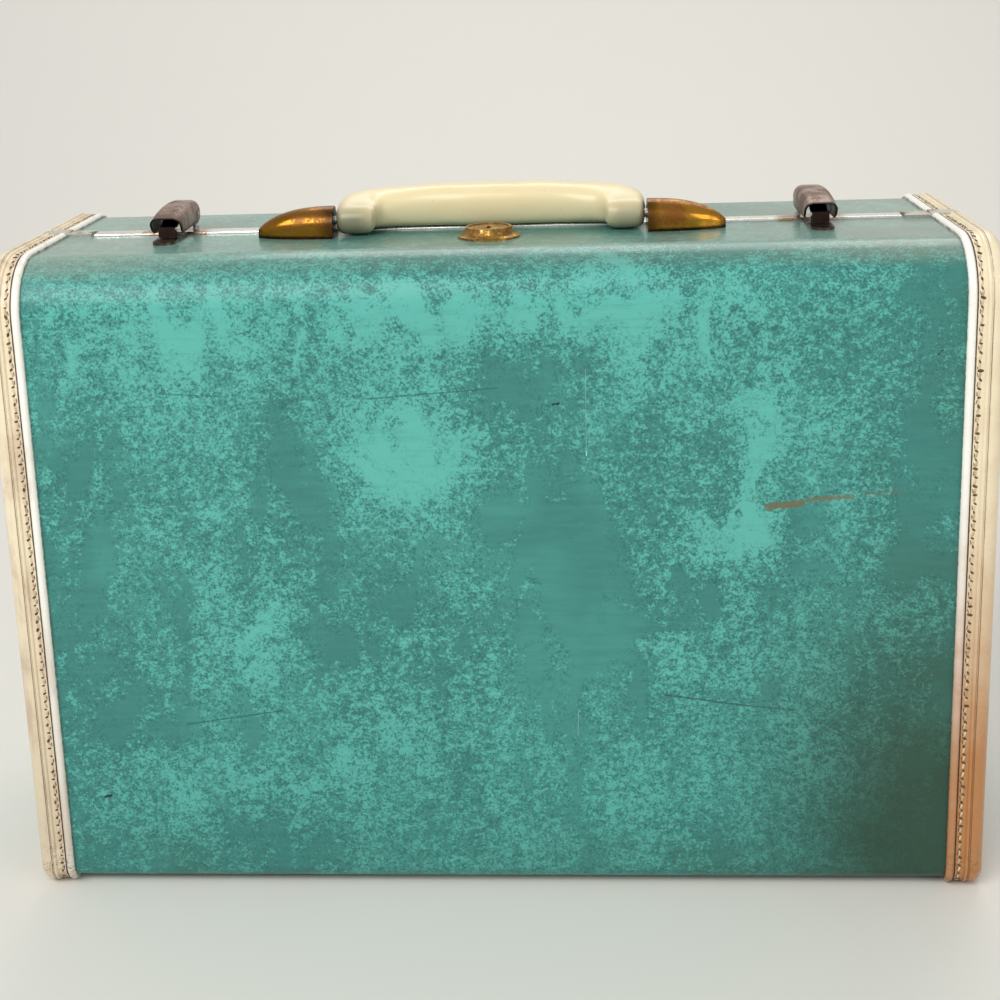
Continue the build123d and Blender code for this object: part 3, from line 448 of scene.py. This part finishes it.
def cream_vinyl(name, base, grooves, yellowed=0.45):
    """Aged cream vinyl with painted shade low on the left; each groove has its distance from the middle,
    its width and its dirt.
    """
    paint = Paint(name)
    away = paint.x.math("ABSOLUTE")
    blotches = paint.clouds(38, 4, 0.6, 0.5)
    fine = paint.clouds(420, 3, 0.6)
    streaks = paint.clouds(150, 3, 0.6, 0.0, paint.stretched((1.0, 1.0, 0.12)))
    colour = paint.blend(blotches.band(0.35, 0.75) * yellowed, base, yellow_age)
    tan = paint.x.band(0.12, 0.20) * (paint.z + (blotches - 0.5) * 0.14).band(0.215, 0.045)
    colour = paint.blend(tan * 0.92, colour, tan_age)
    # Painted shade on the lower part of the left end.
    left_low_shade = paint.x.band(-0.15, -0.23) * (paint.z + (blotches - 0.5) * 0.12).band(0.20, 0.02)
    colour = paint.blend(left_low_shade * 0.5, colour, shaded_cream)
    rub = paint.x.band(-0.19, -0.23) * (streaks + (blotches - 0.5) * 0.6).band(0.5, 0.72)
    colour = paint.blend(rub * 0.5, colour, rubbed_brown)
    dirt = 0.0
    for line, width, strength in grooves:
        wander = (fine - 0.5) * width
        near = (away - line + wander).math("ABSOLUTE").band(width, width * 0.3)
        dirt = near * (streaks.band(0.15, 0.5) * strength) + dirt
    low_corner = paint.z.band(0.030, 0.006) * paint.y.math("ABSOLUTE").band(0.050, 0.078)
    crease = paint.clouds(260, 3, 0.6, 1.2, paint.stretched((0.45, 1.0, 1.0)))
    creased = (crease - 0.5).math("ABSOLUTE").band(0.020, 0.004) * (low_corner * 0.8 + 0.06)
    colour = paint.blend((dirt + creased).math("MINIMUM", 1.0), colour, groove_dirt)
    specks = paint.cells(95).band(0.075, 0.04) * (blotches.band(0.58, 0.7) * 0.75)
    colour = paint.blend(specks, colour, dirt_speck)
    bump = paint.relief(fine, 0.00008, 0.3)
    bump = paint.relief(1 - creased, 0.0003, 0.6, bump)
    bump = paint.relief(streaks, 0.0004, 0.22, bump)
    roughness = 0.36 + (blotches - 0.5) * 0.25 + dirt * 0.25
    return paint.finish(
        Base_Color=colour, Roughness=roughness, Normal=bump, Coat_Weight=0.25, Coat_Roughness=0.2
    )


binding_grooves = [(strip_start, 0.0005, 1.0), (ridge_line + 0.0013, 0.0004, 0.75)]
binding_vinyl = cream_vinyl("cream binding", (0.86, 0.755, 0.545), binding_grooves)
welt_grooves = [(strip_start - 0.0042, 0.0004, 0.9)]
welt_vinyl = cream_vinyl("cream welt", (0.93, 0.93, 0.87), welt_grooves, 0.15)
for half in ("body", "lid"):
    dress(binding_vinyl, *per_side("binding_" + half + "_{}"))
    dress(welt_vinyl, *per_side("welt_" + half + "_{}"))
print("bindings dressed")

# %% [markdown]
# ## Metals
#
# Every metal here has aged in its own way. One function makes them all: a bright metal, a
# tarnish that gathers in soft patches and away from worn places, and a relief, which is
# pebbled on the lock's flank and nearly smooth elsewhere.


# %% Aged metals
rust_brown = (0.30, 0.13, 0.05)
brass_dark_reflection = (0.20, 0.075, 0.009)
brass_foot_shade = (0.050, 0.018, 0.005)
brown_lacquer = (0.030, 0.014, 0.011)


def aged_metal(name, bright, tarnish, patch_scale, amount, roughness, relief=None, tint=None):
    """Metal that dulls in patches; relief is (scale, depth), tint is a colour mask to add."""
    paint = Paint(name)
    patches = paint.clouds(patch_scale, 4, 0.65, 0.4)
    fine = paint.clouds(900, 3, 0.6)
    dull = (patches + (fine - 0.5) * 0.35).band(0.62 - amount * 0.4, 0.78 - amount * 0.3)
    colour = paint.blend(dull * 0.9, bright, tarnish)
    if tint:
        colour = tint(paint, colour, patches, fine)
    rough = roughness + dull * 0.22 + (fine - 0.5) * 0.12
    bump = paint.relief(fine, 0.00004, 0.3)
    if relief:
        scale, depth = relief
        bump = paint.relief(paint.cells(scale, feature="SMOOTH_F1"), depth, 0.8, bump)
    scratches = paint.clouds(500, 2, 0.6, 0.0, paint.stretched((0.08, 1.0, 1.0)))
    bump = paint.relief(scratches, 0.00006, 0.25, bump)
    metallic = 1 - dull * 0.35
    return paint.finish(Base_Color=colour, Roughness=rough, Metallic=metallic, Normal=bump)


def rust_near_latches(paint, colour, patches, fine):
    """Brown stains on the edge strips, beside the latches and in a few other places."""
    away = paint.x.math("ABSOLUTE") - latch_middle
    beside = away.math("ABSOLUTE").band(0.026, 0.008)
    stain = (patches + beside * 0.35 + (fine - 0.5) * 0.3).band(0.64, 0.84)
    return paint.blend(stain * 0.8, colour, rust_brown)


def dark_base(paint, colour, patches, fine):
    """A brass cover has painted shade along its foot and round the end that holds the handle; the left
    one has a painted dark reflection.
    """
    # Painted shade along the cover's foot and at its inner end, next to the grip.
    foot = (paint.z + (fine - 0.5) * 0.0008).band(shell_high.z + 0.0022, shell_high.z + 0.0008)
    end = paint.x.math("ABSOLUTE") + (patches - 0.5) * 0.004
    end = end.band(cover_end + 0.009, cover_end + 0.001)
    # Painted dark reflection: the left cover is darker.
    colour = paint.blend(paint.x.band(0.03, -0.07) * 0.6, colour, brass_dark_reflection)
    return paint.blend(foot.math("MAXIMUM", end * 0.75), colour, brass_foot_shade)


def dark_mouth(paint, colour, patches, fine):
    """The lever's inside and the rim of its mouth are dark brown lacquer."""
    facing = paint.node("ShaderNodeNewGeometry", output="True Normal")
    upward = paint.node("ShaderNodeSeparateXYZ", facing, output="Z")
    across = (paint.x.math("ABSOLUTE") - latch_middle).math("ABSOLUTE")
    wall_middle = (lever_high.x - lever_low.x) / 2 - 0.0005
    inner_walls = across.band(wall_middle, wall_middle - 0.0002) * upward.band(0.3, 0.1)
    inside = upward.band(-0.2, -0.6).math("MAXIMUM", inner_walls)
    inside = inside * paint.y.band(latch_pin_y, latch_pin_y - 0.001)
    lip = Vector((0, lever_low.y, shell_high.z + lever_lip_height))
    foot = Vector((0, lever_foot_y, shell_high.z))
    back = (lip - foot).cross(Vector((1, 0, 0))).normalized()
    depth = (paint.y - lip.y) * back.y + (paint.z - lip.z) * back.z + (patches - 0.5) * 0.002
    rim = depth.band(0.0019, 0.0011)
    return paint.blend(inside.math("MAXIMUM", rim), colour, brown_lacquer)


bright_strip = aged_metal(
    "bright edge strip", (0.86, 0.85, 0.81), (0.55, 0.50, 0.43), 30, 0.35, 0.24, tint=rust_near_latches
)
nickel = aged_metal("worn nickel", (0.72, 0.70, 0.65), (0.30, 0.24, 0.18), 90, 0.45, 0.26)
old_brass = aged_metal(
    "antique brass", (0.56, 0.27, 0.032), (0.20, 0.070, 0.008), 60, 0.5, 0.17, (240, 0.00003), dark_base
)
lock_brass = aged_metal(
    "pebbled brass", (0.50, 0.29, 0.065), (0.15, 0.072, 0.018), 120, 0.6, 0.3, (900, 0.00030)
)
pewter = aged_metal(
    "pewter brown", (0.30, 0.215, 0.18), (0.14, 0.085, 0.065), 80, 0.6, 0.36, (1100, 0.00006), dark_mouth
)
dark_spring = aged_metal("dark spring steel", (0.055, 0.030, 0.022), (0.022, 0.011, 0.008), 120, 0.5, 0.2)
plain_steel = aged_metal("plain steel", (0.56, 0.55, 0.53), (0.30, 0.27, 0.24), 70, 0.4, 0.36)
catch_metal = aged_metal("catch plate", (0.14, 0.10, 0.08), (0.05, 0.032, 0.024), 90, 0.6, 0.24)

dress(bright_strip, "body_valance", "lid_valance")
dress(nickel, "body_corner_clips", "lid_corner_clips")
dress(old_brass, *per_side("handle_cover_{}"))
dress(lock_brass, "lock_bezel", "lock_rotor")
dress(pewter, *per_side("latch_lever_{}"))
dress(dark_spring, *per_side("latch_hook_{}"))
dress(catch_metal, *per_side("latch_catch_{}"))
steel_names = ["handle_core", "handle_rivets", "lock_bolt", "lock_case", "lock_hasp", "hasp_rivets"]
steel_names += ["hinge_rivets_body", "hinge_rivets_lid", "latch_catch_rivets", "latch_base_rivets"]
for sort in ("handle_pin", "handle_bracket", "latch_pin", "latch_base", "hinge_pin",
             "hinge_leaf_body", "hinge_leaf_lid"):
    steel_names += per_side(sort + "_{}")
dress(plain_steel, *steel_names)
print("metals dressed")

# %% [markdown]
# ## The moulded handle
#
# The handle is a glossy cream moulding. Years of hands have left a warm tone and a few dark specks,
# painted shade darkens its underside and the lower ends, and a clear coat gives it the shine of a moulded
# skin.


# %% Cream moulding
cream, warm_cream, pale_flow = (0.82, 0.70, 0.42), (0.74, 0.58, 0.30), (0.90, 0.80, 0.58)
green_shadow, dark_end_shade, moulding_speck = (0.42, 0.43, 0.28), (0.15, 0.155, 0.095), (0.16, 0.10, 0.05)


def cream_moulding():
    """Glossy cream plastic with small dark specks and faint flow lines."""
    paint = Paint("cream moulding")
    blotches = paint.clouds(30, 3, 0.55)
    flow = paint.clouds(60, 3, 0.6, 0.4, paint.stretched((0.15, 1.0, 1.0)))
    colour = paint.blend(blotches.band(0.35, 0.75) * 0.4, cream, warm_cream)
    colour = paint.blend(flow.band(0.5, 0.8) * 0.2, colour, pale_flow)
    under = paint.z.band(0.3265, 0.3140)
    colour = paint.blend(under * 0.6, colour, green_shadow)
    # Painted shade on the lower part of the ends, deeper on the left.
    low_end_shade = paint.x.math("ABSOLUTE").band(0.050, 0.064) * paint.z.band(0.3295, 0.3180)
    low_end_shade = low_end_shade * (0.55 + paint.x.band(0.02, -0.02) * 0.3)
    colour = paint.blend(low_end_shade, colour, dark_end_shade)
    speck = paint.cells(260).band(0.085, 0.045) * blotches.band(0.40, 0.6)
    colour = paint.blend(speck * 0.85, colour, moulding_speck)
    scuffs = paint.clouds(220, 4, 0.7)
    roughness = 0.34 + scuffs.band(0.5, 0.8) * 0.2
    bump = paint.relief(scuffs, 0.00005, 0.3)
    bump = paint.relief(blotches, 0.0006, 0.15, bump)
    return paint.finish(
        Base_Color=colour, Roughness=roughness, Normal=bump, Coat_Weight=0.2, Coat_Roughness=0.2
    )


# %% [markdown]
# The CAD grip has the right sizes, but its legs meet the bar in a tight corner, where the real
# moulding flows. So a copy of its skin is remeshed into even, millimetre-sized faces, the two
# inner corners are filled with a long quarter curve, and the whole is smoothed a little. The
# filling stays behind the feet's front, which passes close over the case as the handle turns.

# %% The grip's flowing copy
voxel_size = 0.0011
corner_start, corner_end, corner_depth = 0.028, 0.0565, 0.0135
bar_back, bar_front = 0.001, -0.008
most_of_corner = 0.98
most_of_room = 0.6
smoothing_rounds = 16


def even_skin(name, size):
    """A closed copy of a CAD node's skin, remeshed into faces of one size."""
    skin = bmesh.new()
    skin.from_mesh(nodes[name].data)
    bmesh.ops.remove_doubles(skin, verts=skin.verts, dist=1e-6)
    rough = meshed("skin", skin)
    remesh = rough.modifiers.new("voxels", "REMESH")
    remesh.mode = "VOXEL"
    remesh.voxel_size = size
    finished = rough.evaluated_get(bpy.context.evaluated_depsgraph_get())
    even = bpy.data.meshes.new_from_object(finished)
    bpy.data.objects.remove(rough)
    shape = bmesh.new()
    shape.from_mesh(even)
    bpy.data.meshes.remove(even)
    return shape


grip = even_skin("handle_grip", voxel_size)
foot_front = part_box("handle_grip")[0].y
for vert in grip.verts:
    along = (abs(vert.co.x) - corner_start) / (corner_end - corner_start)
    if 0 < along <= 1:
        filled = 1 - (1 - min(along, most_of_corner) ** 2) ** 0.5
        facing = min(1, max(0, (bar_back - vert.co.y) / (bar_back - bar_front)))
        room = max(0, vert.co.y - foot_front)
        vert.co.y -= min(corner_depth * filled * facing, room * most_of_room)
every_axis = {"use_axis_x": True, "use_axis_y": True, "use_axis_z": True}
for turn in range(smoothing_rounds):
    bmesh.ops.smooth_vert(grip, verts=grip.verts, factor=0.5, **every_axis)
print("grip:", len(grip.faces), "faces")
grip_piece = new_piece("moulded_grip", grip, cream_moulding(), "handle")
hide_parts("handle_grip")

# %% [markdown]
# ## Linings
#
# Inside, both halves are lined with a woven cloth. Three sine waves, one along each axis, make
# a weave that works on every wall without unwrapping it.


# %% Woven cloth
foxing_brown = (0.30, 0.19, 0.09)


def woven_cloth(name, base, shade, thread):
    """Cloth with threads a set distance apart and a soft variation of colour."""
    paint = Paint(name)
    turns = 2 * pi / thread
    waves = [(axis * turns).math("SINE") for axis in (paint.x, paint.y, paint.z)]
    weave = waves[0] * waves[2] + waves[1] * waves[2] * 0.7 + waves[0] * waves[1] * 0.7
    slubs = paint.clouds(300, 3, 0.6, 0.0, paint.stretched((0.2, 1.0, 1.0)))
    blotches = paint.clouds(18, 4, 0.6)
    colour = paint.blend(blotches.band(0.4, 0.8) * 0.5, base, shade)
    colour = paint.blend((slubs + weave * 0.12).band(0.45, 0.75) * 0.45, colour, shade)
    foxing = paint.clouds(60, 4, 0.7).band(0.66, 0.74) * 0.3
    colour = paint.blend(foxing, colour, foxing_brown)
    bump = paint.relief(weave, 0.00012, 0.6)
    bump = paint.relief(slubs, 0.0002, 0.3, bump)
    return paint.finish(Base_Color=colour, Roughness=0.74 + (slubs - 0.5) * 0.2, Normal=bump)


lining_cloth = woven_cloth("lining cloth", (0.66, 0.55, 0.38), (0.52, 0.41, 0.26), 0.0009)
pocket_cloth = woven_cloth("pocket cloth", (0.64, 0.52, 0.34), (0.46, 0.35, 0.20), 0.0007)
dress(lining_cloth, "body_lining", "lid_lining")
print("linings dressed")

# %% [markdown]
# ## Stitches
#
# The binding is sewn through a narrow strip with a heavy thread, and each needle hole has
# opened and darkened. A stitch is a small squashed ball for the thread and a smaller dark one
# for its hole, copied along the strip. Each one is turned and sized a little differently, with
# a noise of its number, so that the row looks sewn. The noise is seeded once, because without
# a seed Blender takes one from the clock, and the row would differ on every run.

# %% A line round the rim
shell_top_radius, shell_low_radius = 0.0255, 0.0080
top_steps, low_steps = 12, 6


def quarter(y, z, radius, start, steps):
    """Points on a quarter of a circle round y and z, clockwise from a start angle in degrees."""
    turns = [radians(start - step * 90 / steps) for step in range(steps + 1)]
    return [Vector((y + radius * cos(turn), z + radius * sin(turn))) for turn in turns]


def rim_line(half, proud, setback):
    """Points along one half's rim, in Y and Z, at a height over the shell."""
    top_radius = shell_top_radius + proud
    low_radius = shell_low_radius + proud
    deep = abs(shell_low.y) + proud
    top = shell_high.z + proud
    low = shell_low.z - proud
    points = [
        Vector((setback, top)),
        *quarter(deep - top_radius, top - top_radius, top_radius, 90, top_steps),
        *quarter(deep - low_radius, low + low_radius, low_radius, 0, low_steps),
        Vector((setback, low)),
    ]
    return [Vector((half * p.x, p.y)) for p in points]


def walk(points, pitch):
    """Places at an even pitch along a line of points, each with its direction."""
    travelled, target, places = 0.0, pitch / 2, []
    for first, second in zip(points, points[1:]):
        length = (second - first).length
        while target <= travelled + length:
            share = (target - travelled) / length
            places.append((first.lerp(second, share), (second - first).normalized()))
            target += pitch
        travelled += length
    return places


# %% Thread and holes
stitch_pitch = 0.0041
thread_half = Vector((0.0017, 0.00055, 0.00042))
hole_half = Vector((0.00085, 0.00045, 0.00030))
crack_half = Vector((0.0013, 0.00020, 0.00022))
thread_slant = 0.22
strip_proud = 0.0016
trim_setback = 0.0068
thread_segments, hole_segments = 8, 6
rim_centre_z = 0.15


def one_bead(shape, place, size, turn, segments):
    """Adds one squashed ball to a mesh, its long side along the row."""
    made = bmesh.ops.create_uvsphere(shape, u_segments=segments, v_segments=segments // 2 + 1, radius=1)
    matrix = place @ Matrix.Rotation(turn, 4, "Z") @ Matrix.Diagonal((*size, 1))
    bmesh.ops.transform(shape, matrix=matrix, verts=made["verts"])


def row_frame(point, direction, x):
    """A frame on the rim: X along the row, Z out of the surface."""
    along = Vector((0, direction.x, direction.y))
    outward = Vector((0, -direction.y, direction.x))
    if outward.dot(Vector((0, point.x, point.y - rim_centre_z))) < 0:
        outward.negate()
    across = outward.cross(along)
    place = Matrix((along, across, outward)).transposed().to_4x4()
    place.translation = Vector((x, point.x, point.y))
    return place


def plain_finish(name, first, second, scale, roughness):
    """A small-parts finish: two tones in soft spots and a fine grain."""
    paint = Paint(name)
    spots = paint.clouds(scale, 3, 0.6)
    colour = paint.blend(spots.band(0.35, 0.7), first, second)
    rough = roughness + (spots - 0.5) * 0.2
    return paint.finish(Base_Color=colour, Roughness=rough, Normal=paint.relief(spots, 0.0001, 0.4))


thread_finish = plain_finish("waxed thread", (0.70, 0.58, 0.40), (0.42, 0.29, 0.16), 300, 0.55)
hole_finish = plain_finish("needle hole", (0.075, 0.038, 0.020), (0.16, 0.085, 0.045), 400, 0.8)
stitch_x = strip_start + strip_width * 0.42
stitch_seed = 5
noise.seed_set(stitch_seed)
for half, half_name in ((-1, "body"), (1, "lid")):
    line = rim_line(half, strip_proud, trim_setback)
    places = walk(line, stitch_pitch)
    for side, side_name in ((-1, "left"), (1, "right")):
        threads, holes = bmesh.new(), bmesh.new()
        for number, (point, direction) in enumerate(places):
            luck = noise.noise_vector(Vector((number * 7.3, half * 11.7, side * 5.1)))
            here = row_frame(point, direction, side * stitch_x)
            slide = Matrix.Translation((0, side * 0.0003 * luck.x, 0.00002))
            size = thread_half * (1 + 0.25 * luck.y)
            slant = side * half * thread_slant + 0.3 * luck.z
            one_bead(threads, here @ slide, size, slant, thread_segments)
            aside = Matrix.Translation((stitch_pitch / 2, side * (0.0002 + 0.0006 * luck.z), 0.00004))
            size = hole_half * (1 + 0.9 * abs(luck.x) + 0.3 * luck.y)
            one_bead(holes, here @ aside, size, side * 0.9 + 1.6 * luck.y, hole_segments)
            if number % 2 or luck.x > 0:
                beside = Matrix.Translation((0.0006 * luck.y, side * -0.0008, 0.00002))
                one_bead(holes, here @ beside, crack_half, 0.5 * luck.x, hole_segments)
        row = f"{half_name}_{side_name}"
        new_piece("thread_" + row, threads, thread_finish, half_name)
        new_piece("needle_holes_" + row, holes, hole_finish, half_name)
print("stitches:", 4 * len(places))

# %% [markdown]
# ## The gathered pocket
#
# The lid's pocket is one piece of cloth, cut a quarter wider than the pocket, sewn down on
# three sides and drawn in along the top by an elastic. Its folds are close together at the
# seams and at the elastic and run into each other between them. They are a few sine waves that
# change along the height, moved a little by noise. A flat tape covers the sewn edges.

# %% The pocket's cloth
pocket_low, pocket_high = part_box("lid_pocket")
pocket_width = pocket_high.x - pocket_low.x
pocket_height = pocket_high.z - pocket_low.z
pocket_depth = pocket_high.y - pocket_low.y
cloth_columns, cloth_rows = 260, 84
cloth_thickness = 0.0005
cut_wider = 1.25
edge_gap = 0.003
sag_of_hem = 0.006
hem_share, seam_share, elastic_share = 0.075, 0.16, 0.14
wide_folds, narrow_folds = 19, 41


def pocket_fold(u, v):
    """How far the cloth stands off the lining at u across and v up, from 0 to 1."""
    swell = sin(pi * u) ** 0.45 * (0.55 + 0.45 * sin(pi * min(v * 0.8 + 0.1, 1)))
    drift = noise.noise(Vector((u * 5, v * 2.2, 3.0))) * 1.3
    seam = max(0.0, 1 - v / seam_share) ** 2
    top = max(0.0, 1 - abs(v - 1 + hem_share) / elastic_share) ** 2
    wide = sin(2 * pi * wide_folds * u + 2.2 * drift + 2.0 * v)
    narrow = sin(2 * pi * narrow_folds * u + 1.5 * drift)
    crumple = noise.noise(Vector((u * 26, v * 12, 7.0)))
    fold = 0.11 * wide * (1 - 0.5 * seam) + 0.10 * narrow * (0.25 + seam + top) + 0.07 * crumple
    hem = 0.10 * sin(pi * min(1.0, (1 - v) / hem_share)) if v > 1 - hem_share else 0.0
    flat = min(1.0, min(u, 1 - u) / 0.02, v / 0.02)
    return max(0.03, min(0.93, flat * (0.10 + 0.52 * swell + fold + hem)))


cloth = bmesh.new()
bmesh.ops.create_grid(cloth, x_segments=cloth_columns, y_segments=cloth_rows, size=0.5)
for vert in cloth.verts:
    u, v = vert.co.x + 0.5, vert.co.y + 0.5
    sag = sag_of_hem * sin(pi * u) * v ** 3
    vert.co = Vector((
        pocket_low.x + edge_gap + u * (pocket_width - 2 * edge_gap),
        pocket_high.y - 0.0006 - pocket_fold(u, v) * (pocket_depth - 0.0012),
        pocket_low.z + edge_gap + v * (pocket_height - 0.004) - sag,
    ))
bmesh.ops.recalc_face_normals(cloth, faces=cloth.faces)
cloth_area = sum(face.calc_area() for face in cloth.faces)
pocket = new_piece("gathered_pocket", cloth, pocket_cloth, "lid")
thick = pocket.modifiers.new("thickness", "SOLIDIFY")
thick.thickness = cloth_thickness
thick.offset = -1
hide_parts("lid_pocket")
print("pocket cloth", round(cloth_area, 4), "square metres")

# %% The tape over the pocket's sewn edges
tape_width = 0.009
tape_rise = 0.0016
tape_below_top = 0.012


def tape_strip(shape, start, end):
    """Adds a flat ribbon between two points of the lining's face."""
    made = bmesh.ops.create_cube(shape, size=1)["verts"]
    run = end - start
    size = Vector((abs(run.x) + tape_width, tape_rise, abs(run.z) + tape_width))
    matrix = Matrix.Translation((start + end) / 2) @ Matrix.Diagonal((*size, 1))
    bmesh.ops.transform(shape, matrix=matrix, verts=made)


tape = bmesh.new()
face_y = pocket_high.y - tape_rise / 2 - 0.0001
tape_left, tape_right = pocket_low.x + tape_width / 2, pocket_high.x - tape_width / 2
tape_foot, tape_top = pocket_low.z + tape_width / 2, pocket_high.z - tape_below_top
turns = ((tape_left, tape_top), (tape_left, tape_foot), (tape_right, tape_foot), (tape_right, tape_top))
corners = [Vector((x, face_y, z)) for x, z in turns]
for start, end in zip(corners, corners[1:]):
    tape_strip(tape, start, end)
edges = [edge for edge in tape.edges if all(vert.co.y < face_y for vert in edge.verts)]
bmesh.ops.bevel(
    tape, geom=edges, offset=0.0006, segments=2, profile=0.5, affect="EDGES", material=-1
)
tape_piece = new_piece("pocket_tape", tape, lining_cloth, "lid", smooth=False)
cut_width = pocket_width * cut_wider
cloth_area / cut_width

# %% [markdown]
# ## Floor and light
#
# A pale floor that curves up into a wall, one large soft window in front, above and to the
# left, where the photograph's highlights come from, a weak warm fill on the right, another
# behind, and a weak sky all round.
#
# The case stands on its hinged edge, so an opened lid swings below the level it stood on. A
# small geometry nodes group reads how low the lid's binding reaches, and lowers the floor to
# it, so the lid is seen at every angle and nothing moves while the case is closed.

# %% Floor
def pale_floor():
    """Pale paper with a faint change of tone."""
    paint = Paint("pale floor")
    tone = paint.clouds(3, 2)
    colour = paint.blend(tone * 0.15, (0.76, 0.745, 0.70), (0.70, 0.68, 0.63))
    return paint.finish(Base_Color=colour, Roughness=0.62 + (tone - 0.5) * 0.05)


floor_shape = bmesh.new()
floor_front, floor_half_width = -3.0, 3.0
wall_y, wall_top = 1.6, 3.2
sweep_radius, sweep_steps = 0.6, 12
profile = [Vector((-floor_half_width, floor_front, 0))]
for step in range(sweep_steps + 1):
    turn = radians(step * 90 / sweep_steps)
    curve_y = wall_y - sweep_radius + sweep_radius * sin(turn)
    profile.append(Vector((-floor_half_width, curve_y, sweep_radius * (1 - cos(turn)))))
profile.append(Vector((-floor_half_width, wall_y, wall_top)))
verts = [floor_shape.verts.new(point) for point in profile]
line_edges = [floor_shape.edges.new(pair) for pair in zip(verts, verts[1:])]
swept = bmesh.ops.extrude_edge_only(floor_shape, edges=line_edges)["geom"]
far_verts = [item for item in swept if isinstance(item, bmesh.types.BMVert)]
bmesh.ops.translate(floor_shape, vec=(2 * floor_half_width, 0, 0), verts=far_verts)
bmesh.ops.recalc_face_normals(floor_shape, faces=floor_shape.faces)
floor = meshed("floor", floor_shape, pale_floor())


# %% The floor stays under the lid
def keep_under(ground, piece):
    """Lowers the ground by geometry nodes to the lowest point of a piece, if that is below it."""
    group = bpy.data.node_groups.new("ground under a piece", "GeometryNodeTree")
    for way in ("INPUT", "OUTPUT"):
        group.interface.new_socket("Geometry", in_out=way, socket_type="NodeSocketGeometry")
    kinds = ("NodeGroupInput", "NodeGroupOutput", "GeometryNodeObjectInfo", "GeometryNodeBoundBox",
             "ShaderNodeSeparateXYZ", "ShaderNodeMath", "ShaderNodeCombineXYZ", "GeometryNodeTransform")
    start, end, reader, box, split, lower, shift, mover = (group.nodes.new(kind) for kind in kinds)
    reader.transform_space = "RELATIVE"
    reader.inputs["Object"].default_value = piece
    lower.operation = "MINIMUM"
    lower.inputs[1].default_value = 0
    for output, target in (
        (reader.outputs["Geometry"], box.inputs["Geometry"]),
        (box.outputs["Min"], split.inputs[0]),
        (split.outputs["Z"], lower.inputs[0]),
        (lower.outputs[0], shift.inputs["Z"]),
        (start.outputs[0], mover.inputs["Geometry"]),
        (shift.outputs[0], mover.inputs["Translation"]),
        (mover.outputs["Geometry"], end.inputs[0]),
    ):
        group.links.new(output, target)
    ground.modifiers.new("stays under the lid", "NODES").node_group = group


keep_under(floor, nodes["binding_lid_right"])
print("the floor follows the lid")

# %% Lights
def soft_window(name, place, target, size, power, colour):
    """A rectangular area lamp that faces a point."""
    lamp = bpy.data.lights.new(name, "AREA")
    lamp.shape = "RECTANGLE"
    lamp.size, lamp.size_y = size
    lamp.energy = power
    lamp.color = colour
    facing = (target - place).to_track_quat("-Z", "Y").to_matrix().to_4x4()
    in_scene(name, lamp).matrix_world = Matrix.Translation(place) @ facing


middle = Vector((0, 0, 0.16))
soft_window("window", Vector((-0.9, -1.5, 1.7)), middle, (1.6, 1.2), 34, (1.0, 0.985, 0.96))
soft_window("fill", Vector((1.5, -1.2, 0.9)), middle, (1.2, 1.0), 7, (1.0, 0.93, 0.84))
soft_window("behind", Vector((0.2, 1.1, 1.5)), middle, (1.4, 0.8), 8, (1.0, 0.98, 0.95))

world = bpy.data.worlds.new("sky")
bpy.context.scene.world = world
world.use_nodes = True
sky = world.node_tree.nodes["Background"]
sky.inputs["Color"].default_value = (0.90, 0.92, 0.93, 1)
sky.inputs["Strength"].default_value = 0.55
print("floor and lights set")
